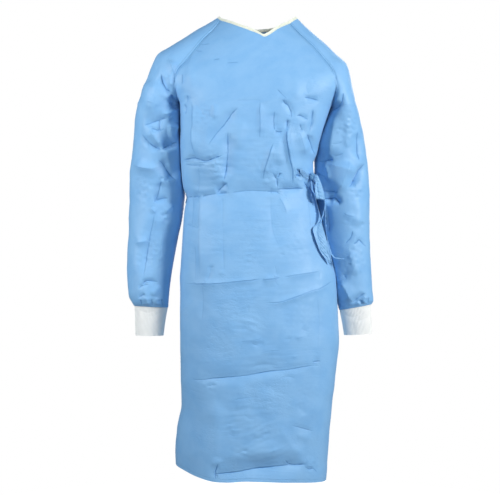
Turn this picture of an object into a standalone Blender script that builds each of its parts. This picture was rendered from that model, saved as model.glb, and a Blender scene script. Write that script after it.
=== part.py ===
# Surgical gown, hollow as worn: raglan body, two sleeves with knit cuffs, bound neck, belt and side tie.
#
# Lengths are in millimetres until a mesh is made. X runs to the wearer's left, Y to the wearer's back
# and Z up. The origin is midway between the two neck points, and "down" is the distance below them.
# A station counts the sections of the gown from the neck (0) past the underarm (9) to the hem or cuff.

import math

import bmesh
import bpy
import numpy as np

MM = 0.001

# Driving sizes
CLOTH = 1.2
KNIT = 2.0
SEAM_GAP = 0.3
BINDING_WIDE = 8.0
BINDING_PROUD = 0.5
UNDERARM = 9.0
SKIRT_STATIONS = 10.0
UNDERARM_DOWN = {"right": 229.3, "left": 243.6}
HEM_DOWN = {"right": 1159.0, "left": 1200.0}
NECK_FADE = 1.5
YOKE_ROUND = 2.2
SLEEVE_CLEAR = 4.5
SLEEVE_SOFT = 3.0
ARMPIT_CLEAR = 0.5
LAP = 0.20
LAP_EASE = 0.30
LAP_OUT = 1.6
YOKE_SETTLES = 0.3
SEAMS_TURN_FROM = 7.0
FOLD_EDGE_FADE = 2.2
STEP_STEEP = 1.6
STEP_REACH = 1.5
BELT_WIDE = 26.0
BELT_LIFT = 0.8
RIBS = 30
RIB_HIGH = 0.7
SHARP_ANGLE = 50.0
SIDE_SIGN = {"right": -1.0, "left": 1.0}

MATERIALS = {
    "cloth": ((0.23, 0.50, 0.83, 1.0), 0.55),
    "knit": ((0.78, 0.80, 0.81, 1.0), 0.90),
    "binding": ((0.86, 0.86, 0.72, 1.0), 0.80),
    "closure": ((0.88, 0.90, 0.90, 1.0), 0.85),
}


class Sections:
    # A short table of sections whose columns are read anywhere between its rows.

    def __init__(self, columns, rows):
        values = np.array(rows, dtype=float).T
        self.key = values[0]
        self.columns = dict(zip(columns, values))

    def at(self, column, place):
        return eased(self.key, self.columns[column], place)


def eased(places, values, place):
    # A cubic through the rows that never overshoots them.
    place = np.clip(place, places[0], places[-1])
    steps = np.diff(places)
    rises = np.diff(values) / steps
    slopes = np.zeros(len(places))
    slopes[0] = rises[0]
    slopes[-1] = rises[-1]
    for i in range(1, len(places) - 1):
        before, after = rises[i - 1], rises[i]
        if before * after > 0:
            slopes[i] = 2 * before * after / (before + after)
    i = np.clip(np.searchsorted(places, place, side="right") - 1, 0, len(steps) - 1)
    t = (place - places[i]) / steps[i]
    start = values[i] * (1 + 2 * t) * (1 - t) ** 2 + slopes[i] * steps[i] * t * (1 - t) ** 2
    end = values[i + 1] * t**2 * (3 - 2 * t) + slopes[i + 1] * steps[i] * t**2 * (t - 1)
    return start + end


def ramp(start, end, value):
    t = np.clip((value - start) / (end - start), 0.0, 1.0)
    return t * t * (3 - 2 * t)


# The body's side edges, seen from the front
SIDE_EDGE = {
    "right": Sections(
        ("down", "x"),
        (
            (229.3, -195),
            (337, -196.5),
            (420, -192),
            (448, -188),
            (473, -178),
            (490, -182.5),
            (543, -188.5),
            (600, -192.4),
            (690, -197),
            (900, -196),
            (1008, -193),
            (1073, -205),
            (1128, -209),
            (1159, -208.5),
        ),
    ),
    "left": Sections(
        ("down", "x"),
        (
            (243.6, 191.4),
            (300, 171.6),
            (360, 156.8),
            (383, 147.7),
            (430, 152.5),
            (475, 156.5),
            (524, 169),
            (558, 177),
            (626, 195),
            (690, 207.5),
            (770, 212),
            (840, 215),
            (900, 209.5),
            (998, 198.5),
            (1122, 186.5),
            (1200, 181.5),
        ),
    ),
}

# How far the centre lines of the front and the back lie from the side edges, and how square the trunk is
TRUNK = Sections(
    ("station", "front", "back", "round"),
    (
        (0.0, 75, 72, 3.3),
        (3.0, 95, 94, 3.3),
        (6.0, 109, 107, 3.3),
        (9.0, 117, 113, 3.3),
        (9.6, 118, 112, 3.1),
        (10.2, 117, 109, 2.8),
        (10.9, 112, 104, 2.5),
        (11.4, 106, 99, 2.4),
        (12.0, 113, 108, 2.4),
        (13.0, 123, 124, 2.4),
        (14.5, 132, 133, 2.4),
        (16.5, 137, 134, 2.4),
        (19.0, 141, 132, 2.4),
    ),
)

# How far the neckline and the hem drop below the straight line between their ends
NECK_DROP = {
    "front": Sections(
        ("across", "drop"),
        (
            (-1.0, 0),
            (-0.75, 9),
            (-0.53, 17),
            (-0.16, 29),
            (0.12, 38),
            (0.25, 43.5),
            (0.36, 39.5),
            (0.5, 30.5),
            (0.66, 19),
            (1.0, 0),
        ),
    ),
    "back": Sections(
        ("across", "drop"),
        ((-1.0, 0), (-0.6, 4), (0.0, 7), (0.6, 4), (1.0, 0)),
    ),
}
HEM_DROP = {
    "front": Sections(
        ("across", "drop"),
        (
            (-1.0, 0),
            (-0.7, 1),
            (-0.44, 10),
            (-0.27, 14.5),
            (-0.16, 12),
            (0.0, 3),
            (0.16, -1),
            (0.39, -3.5),
            (1.0, 0),
        ),
    ),
    "back": Sections(
        ("across", "drop"),
        ((-1.0, 0), (-0.5, 9), (0.0, 5), (0.5, 1), (1.0, 0)),
    ),
}

# Each sleeve's sections. Above the underarm, "in" is the front raglan seam and "out" is the shoulder line;
# below it they are the inner and the outer edge of the tube.
SLEEVE_COLUMNS = (
    "station",
    "out_x",
    "out_down",
    "in_x",
    "in_down",
    "reach",
    "half_deep",
    "mid_y",
    "back_angle",
    "curl",
)
SLEEVE = {
    "right": Sections(
        SLEEVE_COLUMNS,
        (
            (0, -94.6, 0.8, -94.3, 9.4, 50, 40, 1, 135, 16),
            (1, -124.8, 18.7, -113.2, 38.4, 55, 52, 4, 150, 10),
            (2, -156.0, 35.6, -135.8, 64.3, 60, 60, 7, 160, 5),
            (3, -192.4, 59.0, -155.8, 92.5, 65, 66, 9, 168, 2),
            (4, -226.2, 79.8, -178.5, 124.1, 70, 70, 10, 175, 0),
            (5, -255.5, 98.0, -200.0, 151.2, 72, 74, 11, 182, 0),
            (6, -273.0, 131.8, -207.0, 172.5, 67, 77, 12, 191, 0),
            (7, -287.0, 168.2, -207.5, 194.3, 63, 79, 13, 203, 0),
            (8, -300.5, 204.6, -203.0, 214.8, 59, 79, 14, 224, 0),
            (9, -311.5, 241.0, -195.0, 229.3, 57, 78, 15, 270, 0),
            (10, -316.0, 275.0, -190.0, 268.0, 60, 75, 18, 270, 0),
            (11, -321.0, 332.0, -186.0, 328.0, 60, 71, 23, 270, 0),
            (12, -327.0, 378.0, -184.0, 374.0, 60, 69, 27, 270, 0),
            (13, -331.0, 425.0, -183.0, 423.0, 60, 67, 30, 270, 0),
            (14, -332.5, 475.0, -187.0, 473.0, 60, 64, 32, 270, 0),
            (15, -333.0, 524.0, -193.0, 524.0, 60, 61, 30, 270, 0),
            (16, -334.8, 575.0, -203.5, 573.0, 60, 57, 26, 270, 0),
            (17, -336.3, 625.0, -212.5, 623.0, 60, 53, 20, 270, 0),
            (18, -335.5, 675.0, -221.0, 675.0, 60, 49, 14, 270, 0),
            (19, -333.0, 722.0, -226.2, 722.0, 60, 44, 8, 270, 0),
            (20, -326.0, 741.0, -227.5, 743.0, 60, 38, 6, 270, 0),
            (21, -318.0, 752.0, -228.0, 756.6, 60, 28, 5, 270, 0),
        ),
    ),
    "left": Sections(
        SLEEVE_COLUMNS,
        (
            (0, 104.0, 1.8, 90.1, 19.8, 50, 40, 1, 133, 12),
            (1, 130.0, 27.8, 110.3, 46.1, 56, 52, 4, 148, 8),
            (2, 155.1, 49.4, 131.4, 69.4, 61, 60, 7, 158, 4),
            (3, 182.1, 72.1, 151.4, 91.3, 66, 66, 9, 166, 2),
            (4, 209.3, 99.1, 171.4, 117.5, 68, 70, 10, 173, 0),
            (5, 236.5, 124.8, 189.1, 142.3, 62, 74, 11, 181, 0),
            (6, 245.0, 152.6, 200.7, 164.8, 50, 78, 12, 190, 0),
            (7, 251.0, 183.8, 205.6, 191.7, 41, 80, 13, 203, 0),
            (8, 257.5, 215.0, 199.5, 220.0, 38, 81, 14, 224, 0),
            (9, 266.0, 243.6, 191.4, 243.6, 36, 80, 15, 270, 0),
            (10, 272.0, 272.0, 176.0, 272.0, 60, 76, 18, 270, 0),
            (11, 280.6, 303.0, 162.0, 303.0, 60, 71, 23, 270, 0),
            (12, 288.0, 345.0, 150.0, 345.0, 60, 69, 27, 270, 0),
            (13, 294.0, 394.0, 153.5, 392.0, 60, 67, 30, 270, 0),
            (14, 297.5, 440.0, 150.0, 440.0, 60, 66, 32, 270, 0),
            (15, 298.5, 491.0, 152.0, 491.0, 60, 65, 33, 270, 0),
            (16, 298.5, 540.0, 163.0, 540.0, 60, 62, 33, 270, 0),
            (17, 299.0, 595.0, 176.0, 595.0, 60, 58, 32, 270, 0),
            (18, 302.0, 650.0, 190.0, 650.0, 60, 53, 29, 270, 0),
            (19, 305.2, 714.0, 199.0, 714.0, 60, 46, 26, 270, 0),
            (20, 307.5, 737.0, 211.0, 743.0, 60, 39, 24, 270, 0),
            (21, 303.5, 748.5, 217.5, 764.0, 60, 28, 22, 270, 0),
        ),
    ),
}
SLEEVE_END = 21.0

# The largest folds: a line seen from the front, how wide and deep it is, and its profile
FOLD_COLUMNS = ("x0", "down0", "x1", "down1", "wide", "deep", "profile")
FRONT_FOLDS = (
    (-175, 938, -40, 930, 16, 5.0, "step"),
    (-40, 930, 155, 902, 16, 5.0, "step"),
    (-95, 1150, 115, 1134, 15, 6.0, "step"),
    (-175, 690, -20, 686, 14, 2.5, "step"),
    (-20, 686, 150, 664, 14, 3.0, "step"),
    (20, 742, 120, 715, 13, 2.5, "trough"),
    (120, 715, 190, 690, 13, 3.0, "trough"),
    (-160, 462, -65, 452, 12, 3.5, "step"),
    (-65, 452, 60, 452, 12, 2.5, "step"),
    (60, 446, 120, 443, 11, 3.5, "trough"),
    (-45, 235, -125, 335, 13, 3.5, "trough"),
    (-75, 300, -85, 430, 11, 4.0, "trough"),
    (-85, 430, -105, 458, 11, 4.0, "trough"),
    (12, 220, 12, 300, 11, 2.5, "trough"),
    (40, 335, 20, 415, 12, 3.5, "trough"),
    (84, 280, 82, 362, 12, 3.5, "trough"),
    (82, 362, 96, 415, 12, 3.5, "trough"),
    (130, 305, 152, 350, 11, 3.0, "trough"),
    (-190, 372, -125, 375, 11, 3.0, "trough"),
)
BACK_FOLDS = (
    (-150, 930, 160, 915, 18, 4.5, "step"),
    (-160, 690, 150, 678, 16, 3.0, "step"),
    (-140, 420, -60, 330, 14, 3.5, "trough"),
    (120, 405, 70, 310, 14, 3.5, "trough"),
    (-100, 500, -115, 590, 16, 4.0, "trough"),
    (-30, 490, -40, 620, 16, 3.5, "trough"),
    (70, 480, 85, 600, 16, 4.0, "trough"),
    (-90, 1140, 110, 1130, 16, 4.0, "step"),
)
SLEEVE_FOLDS = {
    "right": (
        (-247, 142, -236, 184, 14, 6.0, "trough"),
        (-236, 184, -208, 205, 12, 5.0, "trough"),
        (-291, 284, -208, 245, 15, 5.0, "trough"),
        (-285, 305, -243, 344, 13, 5.0, "ridge"),
        (-243, 344, -205, 300, 13, 5.0, "ridge"),
        (-250, 352, -215, 415, 15, 5.0, "trough"),
        (-300, 428, -225, 470, 14, 4.5, "trough"),
        (-255, 474, -232, 520, 13, 4.0, "ridge"),
        (-275, 520, -288, 630, 16, 4.5, "ridge"),
        (-310, 700, -262, 712, 13, 4.0, "ridge"),
    ),
    "left": (
        (226, 205, 203, 245, 14, 5.0, "trough"),
        (205, 262, 245, 300, 14, 4.0, "trough"),
        (185, 330, 176, 385, 14, 4.0, "trough"),
        (277, 370, 240, 445, 14, 5.0, "trough"),
        (188, 478, 224, 486, 12, 5.0, "trough"),
        (255, 540, 275, 640, 15, 4.5, "ridge"),
        (225, 690, 250, 745, 13, 4.5, "ridge"),
        (255, 742, 290, 715, 12, 4.0, "trough"),
    ),
}


def fold_shift(folds, x, down):
    # How far the cloth stands out of (or lies below) its smooth form at each point.
    shift = np.zeros(np.broadcast(x, down).shape)
    for row in folds:
        fold = dict(zip(FOLD_COLUMNS, row))
        run_x, run_down = fold["x1"] - fold["x0"], fold["down1"] - fold["down0"]
        length = math.hypot(run_x, run_down)
        off_x, off_down = x - fold["x0"], down - fold["down0"]
        along = np.clip((off_x * run_x + off_down * run_down) / length**2, 0.0, 1.0)
        away = np.hypot(off_x - along * run_x, off_down - along * run_down) / fold["wide"]
        across = (off_down * run_x - off_x * run_down) / (length * fold["wide"])
        bell = fold["deep"] * np.exp(-(away**2))
        if fold["profile"] == "trough":
            shift -= bell
        elif fold["profile"] == "ridge":
            shift += bell
        else:
            shift -= STEP_STEEP * bell * np.clip(across, -STEP_REACH, STEP_REACH)
    return shift


def sleeve_angles(which, station):
    # The sleeve's first and last angle at a station: its two raglan seams, or one underarm seam.
    rows = SLEEVE[which]
    span = np.hypot(
        rows.at("out_x", station) - rows.at("in_x", station),
        rows.at("out_down", station) - rows.at("in_down", station),
    )
    closed = station >= UNDERARM
    reach = np.where(closed, span / 2, rows.at("reach", station))
    front = np.arcsin(np.clip(1 - span / reach, -1.0, 1.0))
    back = np.radians(rows.at("back_angle", station))
    return np.where(closed, -math.pi / 2, front), np.where(closed, 1.5 * math.pi, back), span, reach


def body_edge(which, y, down):
    # Where the body's side lies at a depth, and how much of the body there is at that depth.
    station = UNDERARM + SKIRT_STATIONS * np.clip(
        (down - UNDERARM_DOWN[which]) / (HEM_DOWN[which] - UNDERARM_DOWN[which]), 0.0, 1.0
    )
    right = SIDE_EDGE["right"].at("x", down)
    left = SIDE_EDGE["left"].at("x", down)
    deep = np.where(y < 0, TRUNK.at("front", station), TRUNK.at("back", station))
    power = TRUNK.at("round", station)
    share = np.clip(1 - (np.abs(y) / deep) ** power, 0.0, 1.0) ** (1 / power)
    return (right + left) / 2 + SIDE_SIGN[which] * (left - right) / 2 * share


def sleeve_surface(which, station, angle):
    rows = SLEEVE[which]
    side = SIDE_SIGN[which]
    _, _, span, reach = sleeve_angles(which, station)
    out_x, out_down = rows.at("out_x", station), rows.at("out_down", station)
    toward_x = (out_x - rows.at("in_x", station)) / span
    toward_down = (out_down - rows.at("in_down", station)) / span
    sine, cosine = np.sin(angle), np.cos(angle)
    x = out_x - toward_x * reach * (1 - sine) - side * rows.at("curl", station) * cosine**2
    down = out_down - toward_down * reach * (1 - sine)
    y = rows.at("mid_y", station) - rows.at("half_deep", station) * cosine
    seam_fade = ramp(1.0, 4.0, station) * (1 - ramp(SLEEVE_END - 1.0, SLEEVE_END, station))
    edge_fade = np.where(station < UNDERARM, np.clip(1 - np.exp(-((1 + sine) * 3)), 0.0, 1.0), 1.0)
    shift = fold_shift(SLEEVE_FOLDS[which], x, down) * seam_fade * edge_fade * np.sqrt(np.abs(cosine))
    x = x + shift * toward_x * sine
    down = down + shift * toward_down * sine
    y = y - shift * cosine
    grown = ramp(UNDERARM, UNDERARM + 1.2, station)
    clear = ARMPIT_CLEAR + (SLEEVE_CLEAR - ARMPIT_CLEAR) * grown
    free = side * (body_edge(which, y, down) + side * clear)
    soft = SLEEVE_SOFT * grown
    held = (side * x + free + np.sqrt((side * x - free) ** 2 + soft**2)) / 2
    x = np.where(station >= UNDERARM, side * held, x)
    return np.stack([x, y, -down], axis=-1)


def seam_point(which, face, station):
    # A point of the front or back raglan seam.
    front, back, _, _ = sleeve_angles(which, station)
    return sleeve_surface(which, station, front if face == "front" else back)


def across_shapes(across, station):
    # The rounded trunk's share of the width and of the depth.
    turn = across * math.pi / 2
    power = 2 / TRUNK.at("round", station)
    return np.sign(turn) * np.abs(np.sin(turn)) ** power, np.abs(np.cos(turn)) ** power


def body_surface(face, across, station):
    # The front or back panel: across runs from -1 at the wearer's right edge to 1 at the left edge.
    across, station = np.broadcast_arrays(np.asarray(across, float), np.asarray(station, float))
    wide, deep = across_shapes(across, station)
    yoke = np.minimum(station, UNDERARM)
    skirt = np.clip((station - UNDERARM) / SKIRT_STATIONS, 0.0, 1.0)
    turn = ramp(YOKE_SETTLES * UNDERARM, UNDERARM, station)
    wide = across + (wide - across) * turn
    flat = 1 - np.abs(across) ** YOKE_ROUND
    deep = flat + (deep - flat) * turn
    share = (wide + 1) / 2
    ends = {}
    for which in ("right", "left"):
        end = seam_point(which, face, yoke)
        down = UNDERARM_DOWN[which] + (HEM_DOWN[which] - UNDERARM_DOWN[which]) * skirt
        x = np.where(skirt > 0, SIDE_EDGE[which].at("x", down), end[..., 0])
        y = np.where(station >= UNDERARM, 0.0, end[..., 1])
        down = np.where(skirt > 0, down, -end[..., 2])
        ends[which] = np.stack([x, y, -down], axis=-1)
    line = ends["right"] + (ends["left"] - ends["right"]) * share[..., None]
    sign = -1.0 if face == "front" else 1.0
    out = sign * TRUNK.at(face, station)
    y = line[..., 1] + (out - (ends["right"][..., 1] + ends["left"][..., 1]) / 2) * deep
    fade = (1 - yoke / UNDERARM) ** NECK_FADE
    drop = NECK_DROP[face].at("drop", across) * fade + HEM_DROP[face].at("drop", across) * skirt**2
    x, down = line[..., 0], drop - line[..., 2]
    folds = FRONT_FOLDS if face == "front" else BACK_FOLDS
    edge_fade = np.clip(FOLD_EDGE_FADE * (1 - np.abs(across)), 0.0, 1.0)
    shift = fold_shift(folds, x, down) * edge_fade * ramp(1.0, 3.0, station)
    return np.stack([x, y + sign * shift, -down], axis=-1)


def outward(points, sign):
    # Unit normals of a grid of points.
    normals = np.cross(np.gradient(points, axis=1), np.gradient(points, axis=0)) * sign
    return normals / np.linalg.norm(normals, axis=-1, keepdims=True)


def first_station(surface, below):
    # The station whose distance from the neckline, on the cloth, is "below".
    probe = 0.2
    reach = np.linalg.norm(surface(probe) - surface(0.0), axis=-1)
    return probe * below / reach


def trimmed(points, rows=None):
    # Draws both side edges back by half a seam gap.
    points = points.copy()
    rows = slice(0, rows)
    for edge, inside in ((0, 1), (-1, -2)):
        step = points[rows, inside] - points[rows, edge]
        points[rows, edge] += step / np.linalg.norm(step, axis=-1, keepdims=True) * SEAM_GAP / 2
    return points


def lap_shift(across, over):
    # The back panels' overlap: the over panel stands out, the under panel lies in.
    reach = across if over else -across
    eased_in = 1 - ramp(LAP, LAP + LAP_EASE, reach)
    return LAP_OUT * eased_in * (1 if over else -1)


def material(name):
    found = bpy.data.materials.get(name)
    if found:
        return found
    colour, roughness = MATERIALS[name]
    made = bpy.data.materials.new(name)
    made.use_nodes = True
    shader = made.node_tree.nodes["Principled BSDF"]
    shader.inputs["Base Color"].default_value = colour
    shader.inputs["Roughness"].default_value = roughness
    shader.inputs["Metallic"].default_value = 0.0
    return made


def wall(name, outer, inner, material_name):
    # A cloth wall: one grid of faces on the outer points, extruded to the inner points. Points of the
    # two side edges that coincide are joined, which closes a tube.
    rows, columns = outer.shape[:2]
    mesh = bpy.data.meshes.new(name)
    work = bmesh.new()
    bmesh.ops.create_grid(work, x_segments=columns - 1, y_segments=rows - 1, size=1)
    row_of = work.verts.layers.int.new("row")
    column_of = work.verts.layers.int.new("column")
    for vertex in work.verts:
        column = round((vertex.co.x + 1) / 2 * (columns - 1))
        row = round((1 - vertex.co.y) / 2 * (rows - 1))
        vertex[row_of], vertex[column_of] = row, column
        vertex.co = outer[row, column] * MM
    bmesh.ops.triangulate(work, faces=work.faces[:])
    bmesh.ops.remove_doubles(work, verts=work.verts[:], dist=1e-6)
    geometry = work.verts[:] + work.edges[:] + work.faces[:]
    extruded = bmesh.ops.extrude_face_region(work, geom=geometry, use_keep_orig=True)
    for item in extruded["geom"]:
        if isinstance(item, bmesh.types.BMVert):
            item.co = inner[item[row_of], item[column_of]] * MM
    bmesh.ops.recalc_face_normals(work, faces=work.faces[:])
    work.to_mesh(mesh)
    work.free()
    mesh.shade_smooth()
    mesh.set_sharp_from_angle(angle=math.radians(SHARP_ANGLE))
    mesh.materials.append(material(material_name))
    made = bpy.data.objects.new(name, mesh)
    bpy.context.collection.objects.link(made)
    return made


# Stations of the rows that every panel shares above the underarm, and of each panel's own rows below it
YOKE_ROWS = (1.0, 2.0, 3.1, 4.2, 5.2, 6.1, 6.9, 7.6, 8.2, 8.6, 9.0)
FRONT_ROWS = (
    9.3, 9.6, 9.95, 10.3, 10.65, 10.95, 11.2, 11.4, 11.6, 11.85, 12.3, 12.9, 13.45, 13.8, 14.0, 14.3,
    14.7, 15.3, 15.9, 16.2, 16.4, 16.6, 16.8, 17.2, 17.8, 18.3, 18.6, 18.78, 19.0,
)
BACK_ROWS = (
    9.4, 9.9, 10.4, 10.85, 11.15, 11.4, 11.65, 12.1, 12.8, 13.5, 13.9, 14.4, 15.2, 16.0, 16.4, 16.8,
    17.5, 18.3, 18.7, 19.0,
)
SLEEVE_ROWS = (
    9.5, 10.0, 10.5, 11.0, 11.5, 12.0, 12.5, 13.1, 13.7, 14.3, 15.0, 15.8, 16.6, 17.4, 18.2, 18.9, 19.5,
    20.1, 20.6, 21.0,
)
FRONT_COLUMNS = 22
BACK_COLUMNS = 20
SLEEVE_ROUND = 16
BINDING_ARM_COLUMNS = 6


def panel_stations(surface, rows):
    # The first row follows the lower edge of the binding, the others are level stations.
    first = first_station(surface, BINDING_WIDE + SEAM_GAP)
    later = np.array(YOKE_ROWS + rows)[:, None] * np.ones_like(first)[None, :]
    return np.concatenate([first[None, :], later])


def body_panel(face, across, rows):
    across = np.asarray(across)
    stations = panel_stations(lambda station: body_surface(face, across, station), rows)
    return body_surface(face, across[None, :], stations)


def sleeve_panel(which):
    share = np.linspace(0.0, 1.0, SLEEVE_ROUND + 1)

    def surface(station):
        front, back, _, _ = sleeve_angles(which, station)
        return sleeve_surface(which, station * np.ones_like(share), front + (back - front) * share)

    stations = panel_stations(surface, SLEEVE_ROWS)
    front, back, _, _ = sleeve_angles(which, stations)
    points = sleeve_surface(which, stations, front + (back - front) * share[None, :])
    closed = len(YOKE_ROWS)
    points[closed:, -1] = points[closed:, 0]
    return points


def sleeve_normals(which, points):
    normals = outward(points, -SIDE_SIGN[which])
    closed = len(YOKE_ROWS)
    joined = normals[closed:, 0] + normals[closed:, -1]
    joined /= np.linalg.norm(joined, axis=-1, keepdims=True)
    normals[closed:, 0] = joined
    normals[closed:, -1] = joined
    return normals


def share_seam(first, second, fade):
    # Two walls that meet at a seam turn their edges the same way, less so towards the underarm.
    both = (first + second) * fade[:, None]
    for normals in (first, second):
        mixed = normals * (1 - fade[:, None]) + both
        normals[:] = mixed / np.linalg.norm(mixed, axis=-1, keepdims=True)


def build_shell():
    # Front, backs and sleeves, whose seams are settled together. Gives the body's outer points.
    across = {
        "front": np.linspace(-1.0, 1.0, FRONT_COLUMNS + 1),
        "back": np.linspace(-1.0, 1.0, BACK_COLUMNS + 1),
    }
    points = {
        "front": body_panel("front", across["front"], FRONT_ROWS),
        "back": body_panel("back", across["back"], BACK_ROWS),
        "right": sleeve_panel("right"),
        "left": sleeve_panel("left"),
    }
    normals = {
        "front": outward(points["front"], -1.0),
        "back": outward(points["back"], 1.0),
        "right": sleeve_normals("right", points["right"]),
        "left": sleeve_normals("left", points["left"]),
    }
    yoke = len(YOKE_ROWS) + 1
    stations = np.array((0.0,) + YOKE_ROWS)
    fade = 1 - ramp(SEAMS_TURN_FROM, UNDERARM, stations)
    for face, column in (("front", 0), ("back", -1)):
        share_seam(normals[face][:yoke, 0], normals["right"][:yoke, column], fade)
        share_seam(normals[face][:yoke, -1], normals["left"][:yoke, column], fade)
    for column, which in ((0, "right"), (-1, "left")):
        for face in ("front", "back"):
            normals[face][yoke:, column] = (SIDE_SIGN[which], 0.0, 0.0)

    front = trimmed(points["front"])
    wall("front_panel", front, front - normals["front"] * CLOTH, "cloth")
    back = trimmed(points["back"])
    for name, over in (("back_panel_under", False), ("back_panel_over", True)):
        kept = across["back"] >= -LAP - 1e-6 if over else across["back"] <= LAP + 1e-6
        lap = lap_shift(across["back"][kept], over)[None, :, None]
        outer = back[:, kept] + normals["back"][:, kept] * lap
        wall(name, outer, outer - normals["back"][:, kept] * CLOTH, "cloth")
    for which in ("right", "left"):
        sleeve = trimmed(points[which], len(YOKE_ROWS))
        wall("sleeve_" + which, sleeve, sleeve - normals[which] * CLOTH, "cloth")
    return points["front"], points["back"]


def build_binding():
    # One strip from the under panel's edge, round the neck, to the over panel's edge.
    def sleeve_run(which, shares):
        def surface(station):
            front, back, _, _ = sleeve_angles(which, station * np.ones_like(shares))
            return sleeve_surface(which, station * np.ones_like(shares), front + (back - front) * shares)

        return surface

    def body_run(face, across):
        return lambda station: body_surface(face, across, station)

    arm = np.linspace(0.0, 1.0, BINDING_ARM_COLUMNS + 1)[1:-1]
    back = np.linspace(-1.0, 1.0, BACK_COLUMNS + 1)
    under = back[back <= LAP + 1e-6][::-1]
    over = back[back >= -LAP - 1e-6][::-1]
    runs = (
        (body_run("back", under), lap_shift(under, False)),
        (sleeve_run("right", arm[::-1]), 0 * arm),
        (body_run("front", np.linspace(-1.0, 1.0, FRONT_COLUMNS + 1)), np.zeros(FRONT_COLUMNS + 1)),
        (sleeve_run("left", arm), 0 * arm),
        (body_run("back", over), lap_shift(over, True)),
    )
    top, low, lap = [], [], []
    for surface, shift in runs:
        top.append(surface(0.0))
        low.append(surface(first_station(surface, BINDING_WIDE)))
        lap.append(shift)
    points = np.stack([np.concatenate(top), np.concatenate(low)])
    normals = outward(points, -1.0)
    points = points + normals * np.concatenate(lap)[None, :, None]
    outer = points + normals * BINDING_PROUD
    wall("neck_binding", outer, points - normals * (CLOTH + BINDING_PROUD), "binding")


def cuff_surface(which, level, angle, wide_less):
    # The knit tube below a sleeve: level runs from 0 at the seam to 1 at its end.
    rows = CUFF[which]
    out = np.stack([rows.at("out_x", level), rows.at("out_down", level)])
    inner = np.stack([rows.at("in_x", level), rows.at("in_down", level)])
    middle, half = (out + inner) / 2, (out - inner) / 2
    length = np.hypot(half[0], half[1])
    half = half * (length - wide_less) / length
    deep = rows.at("half_deep", level) - wide_less
    x = middle[0] + half[0] * np.sin(angle)
    down = middle[1] + half[1] * np.sin(angle)
    return np.stack([x, rows.at("mid_y", level) - deep * np.cos(angle), -down], axis=-1)


CUFF_COLUMNS = ("level", "out_x", "out_down", "in_x", "in_down", "half_deep", "mid_y")
CUFF = {
    "right": Sections(
        CUFF_COLUMNS,
        (
            (0.0, -316.5, 752.3, -229.5, 756.9, 26.5, 5),
            (0.5, -314.5, 792.0, -236.0, 793.5, 24.5, 4),
            (1.0, -313.6, 829.7, -240.5, 829.7, 24.0, 3),
        ),
    ),
    "left": Sections(
        CUFF_COLUMNS,
        (
            (0.0, 300.5, 748.8, 219.0, 764.3, 26.5, 22),
            (0.5, 302.5, 787.0, 225.0, 796.0, 24.5, 21),
            (1.0, 304.5, 825.8, 230.6, 829.7, 24.0, 20),
        ),
    ),
}
CUFF_LEVELS = (0.0, 0.5, 1.0)


def build_cuff(which):
    columns = 2 * RIBS
    angle = -math.pi / 2 + np.linspace(0.0, 2 * math.pi, columns + 1)[None, :]
    level = np.array(CUFF_LEVELS)[:, None]
    level, angle = np.broadcast_arrays(level, angle)
    rib = RIB_HIGH * (np.arange(columns + 1) % 2)[None, :]
    outer = cuff_surface(which, level, angle, RIB_HIGH - rib)
    inner = cuff_surface(which, level, angle, KNIT * np.ones_like(level))
    for points in (outer, inner):
        points[:, -1] = points[:, 0]
    wall("cuff_" + which, outer, inner, "knit")


def along_column(points, column, down):
    # The place on a panel's column at a distance below the neck points.
    below = -points[:, column, 2]
    return np.array([np.interp(down, below, points[:, column, axis]) for axis in range(3)])


def on_front(front, x, down, lift):
    # The place on the front panel behind a point seen from the front, moved out.
    line = np.array([along_column(front, column, down) for column in range(front.shape[1])])
    return np.array((x, np.interp(x, line[:, 0], line[:, 1]) - lift, -down))


BELT_DOWN = {"right": 474.0, "left": 426.0}
BELT_FRONT_COLUMNS = 4


def build_belt(front, back):
    # From the wearer's right side seam, round the back and the left side, to the knot in front.
    across = np.linspace(-1.0, 1.0, BACK_COLUMNS + 1)[:-1]
    middle = BELT_DOWN["right"] + (BELT_DOWN["left"] - BELT_DOWN["right"]) * (across + 1) / 2
    rows = []
    for height in np.linspace(-0.5, 0.5, 4) * BELT_WIDE:
        behind = [along_column(back, column, middle[column] + height) for column in range(BACK_COLUMNS)]
        beside = [along_column(front, -1 - i, BELT_DOWN["left"] + height) for i in range(BELT_FRONT_COLUMNS)]
        rows.append(behind + beside)
    points = np.array(rows)
    normals = outward(points, 1.0)
    normals[:, 0] = (-1.0, 0.0, 0.0)
    lap = np.zeros(points.shape[1])
    lap[:BACK_COLUMNS] = LAP_OUT * (1 - ramp(LAP, LAP + LAP_EASE, np.abs(across)))
    inner = points + normals * (BELT_LIFT + lap)[None, :, None]
    wall("belt_back", inner + normals * CLOTH, inner, "cloth")


# The tie's sewn end on the front panel: its upper and lower edges and how far each stands off the panel
SEWN_END = Sections(
    ("x", "top_down", "top_lift", "low_down", "low_lift"),
    (
        (109.0, 400.0, 1.4, 431.0, 1.4),
        (115.5, 404.5, 3.0, 429.0, 1.8),
        (121.0, 408.0, 2.0, 430.5, 4.2),
        (127.0, 411.5, 4.6, 430.0, 2.2),
        (135.0, 415.0, 4.0, 427.0, 3.5),
    ),
)


def build_sewn_end(front):
    share = np.linspace(0.0, 1.0, 4)
    rows = []
    for x in SEWN_END.key:
        top_down, low_down = SEWN_END.at("top_down", x), SEWN_END.at("low_down", x)
        top_lift, low_lift = SEWN_END.at("top_lift", x), SEWN_END.at("low_lift", x)
        down = top_down + (low_down - top_down) * share
        lift = top_lift + (low_lift - top_lift) * share
        rows.append([on_front(front, x, down[i], lift[i]) for i in range(len(share))])
    points = np.array(rows)
    normals = outward(points, 1.0)
    wall("tie_sewn_end", points + normals * CLOTH / 2, points - normals * CLOTH / 2, "cloth")


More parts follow.
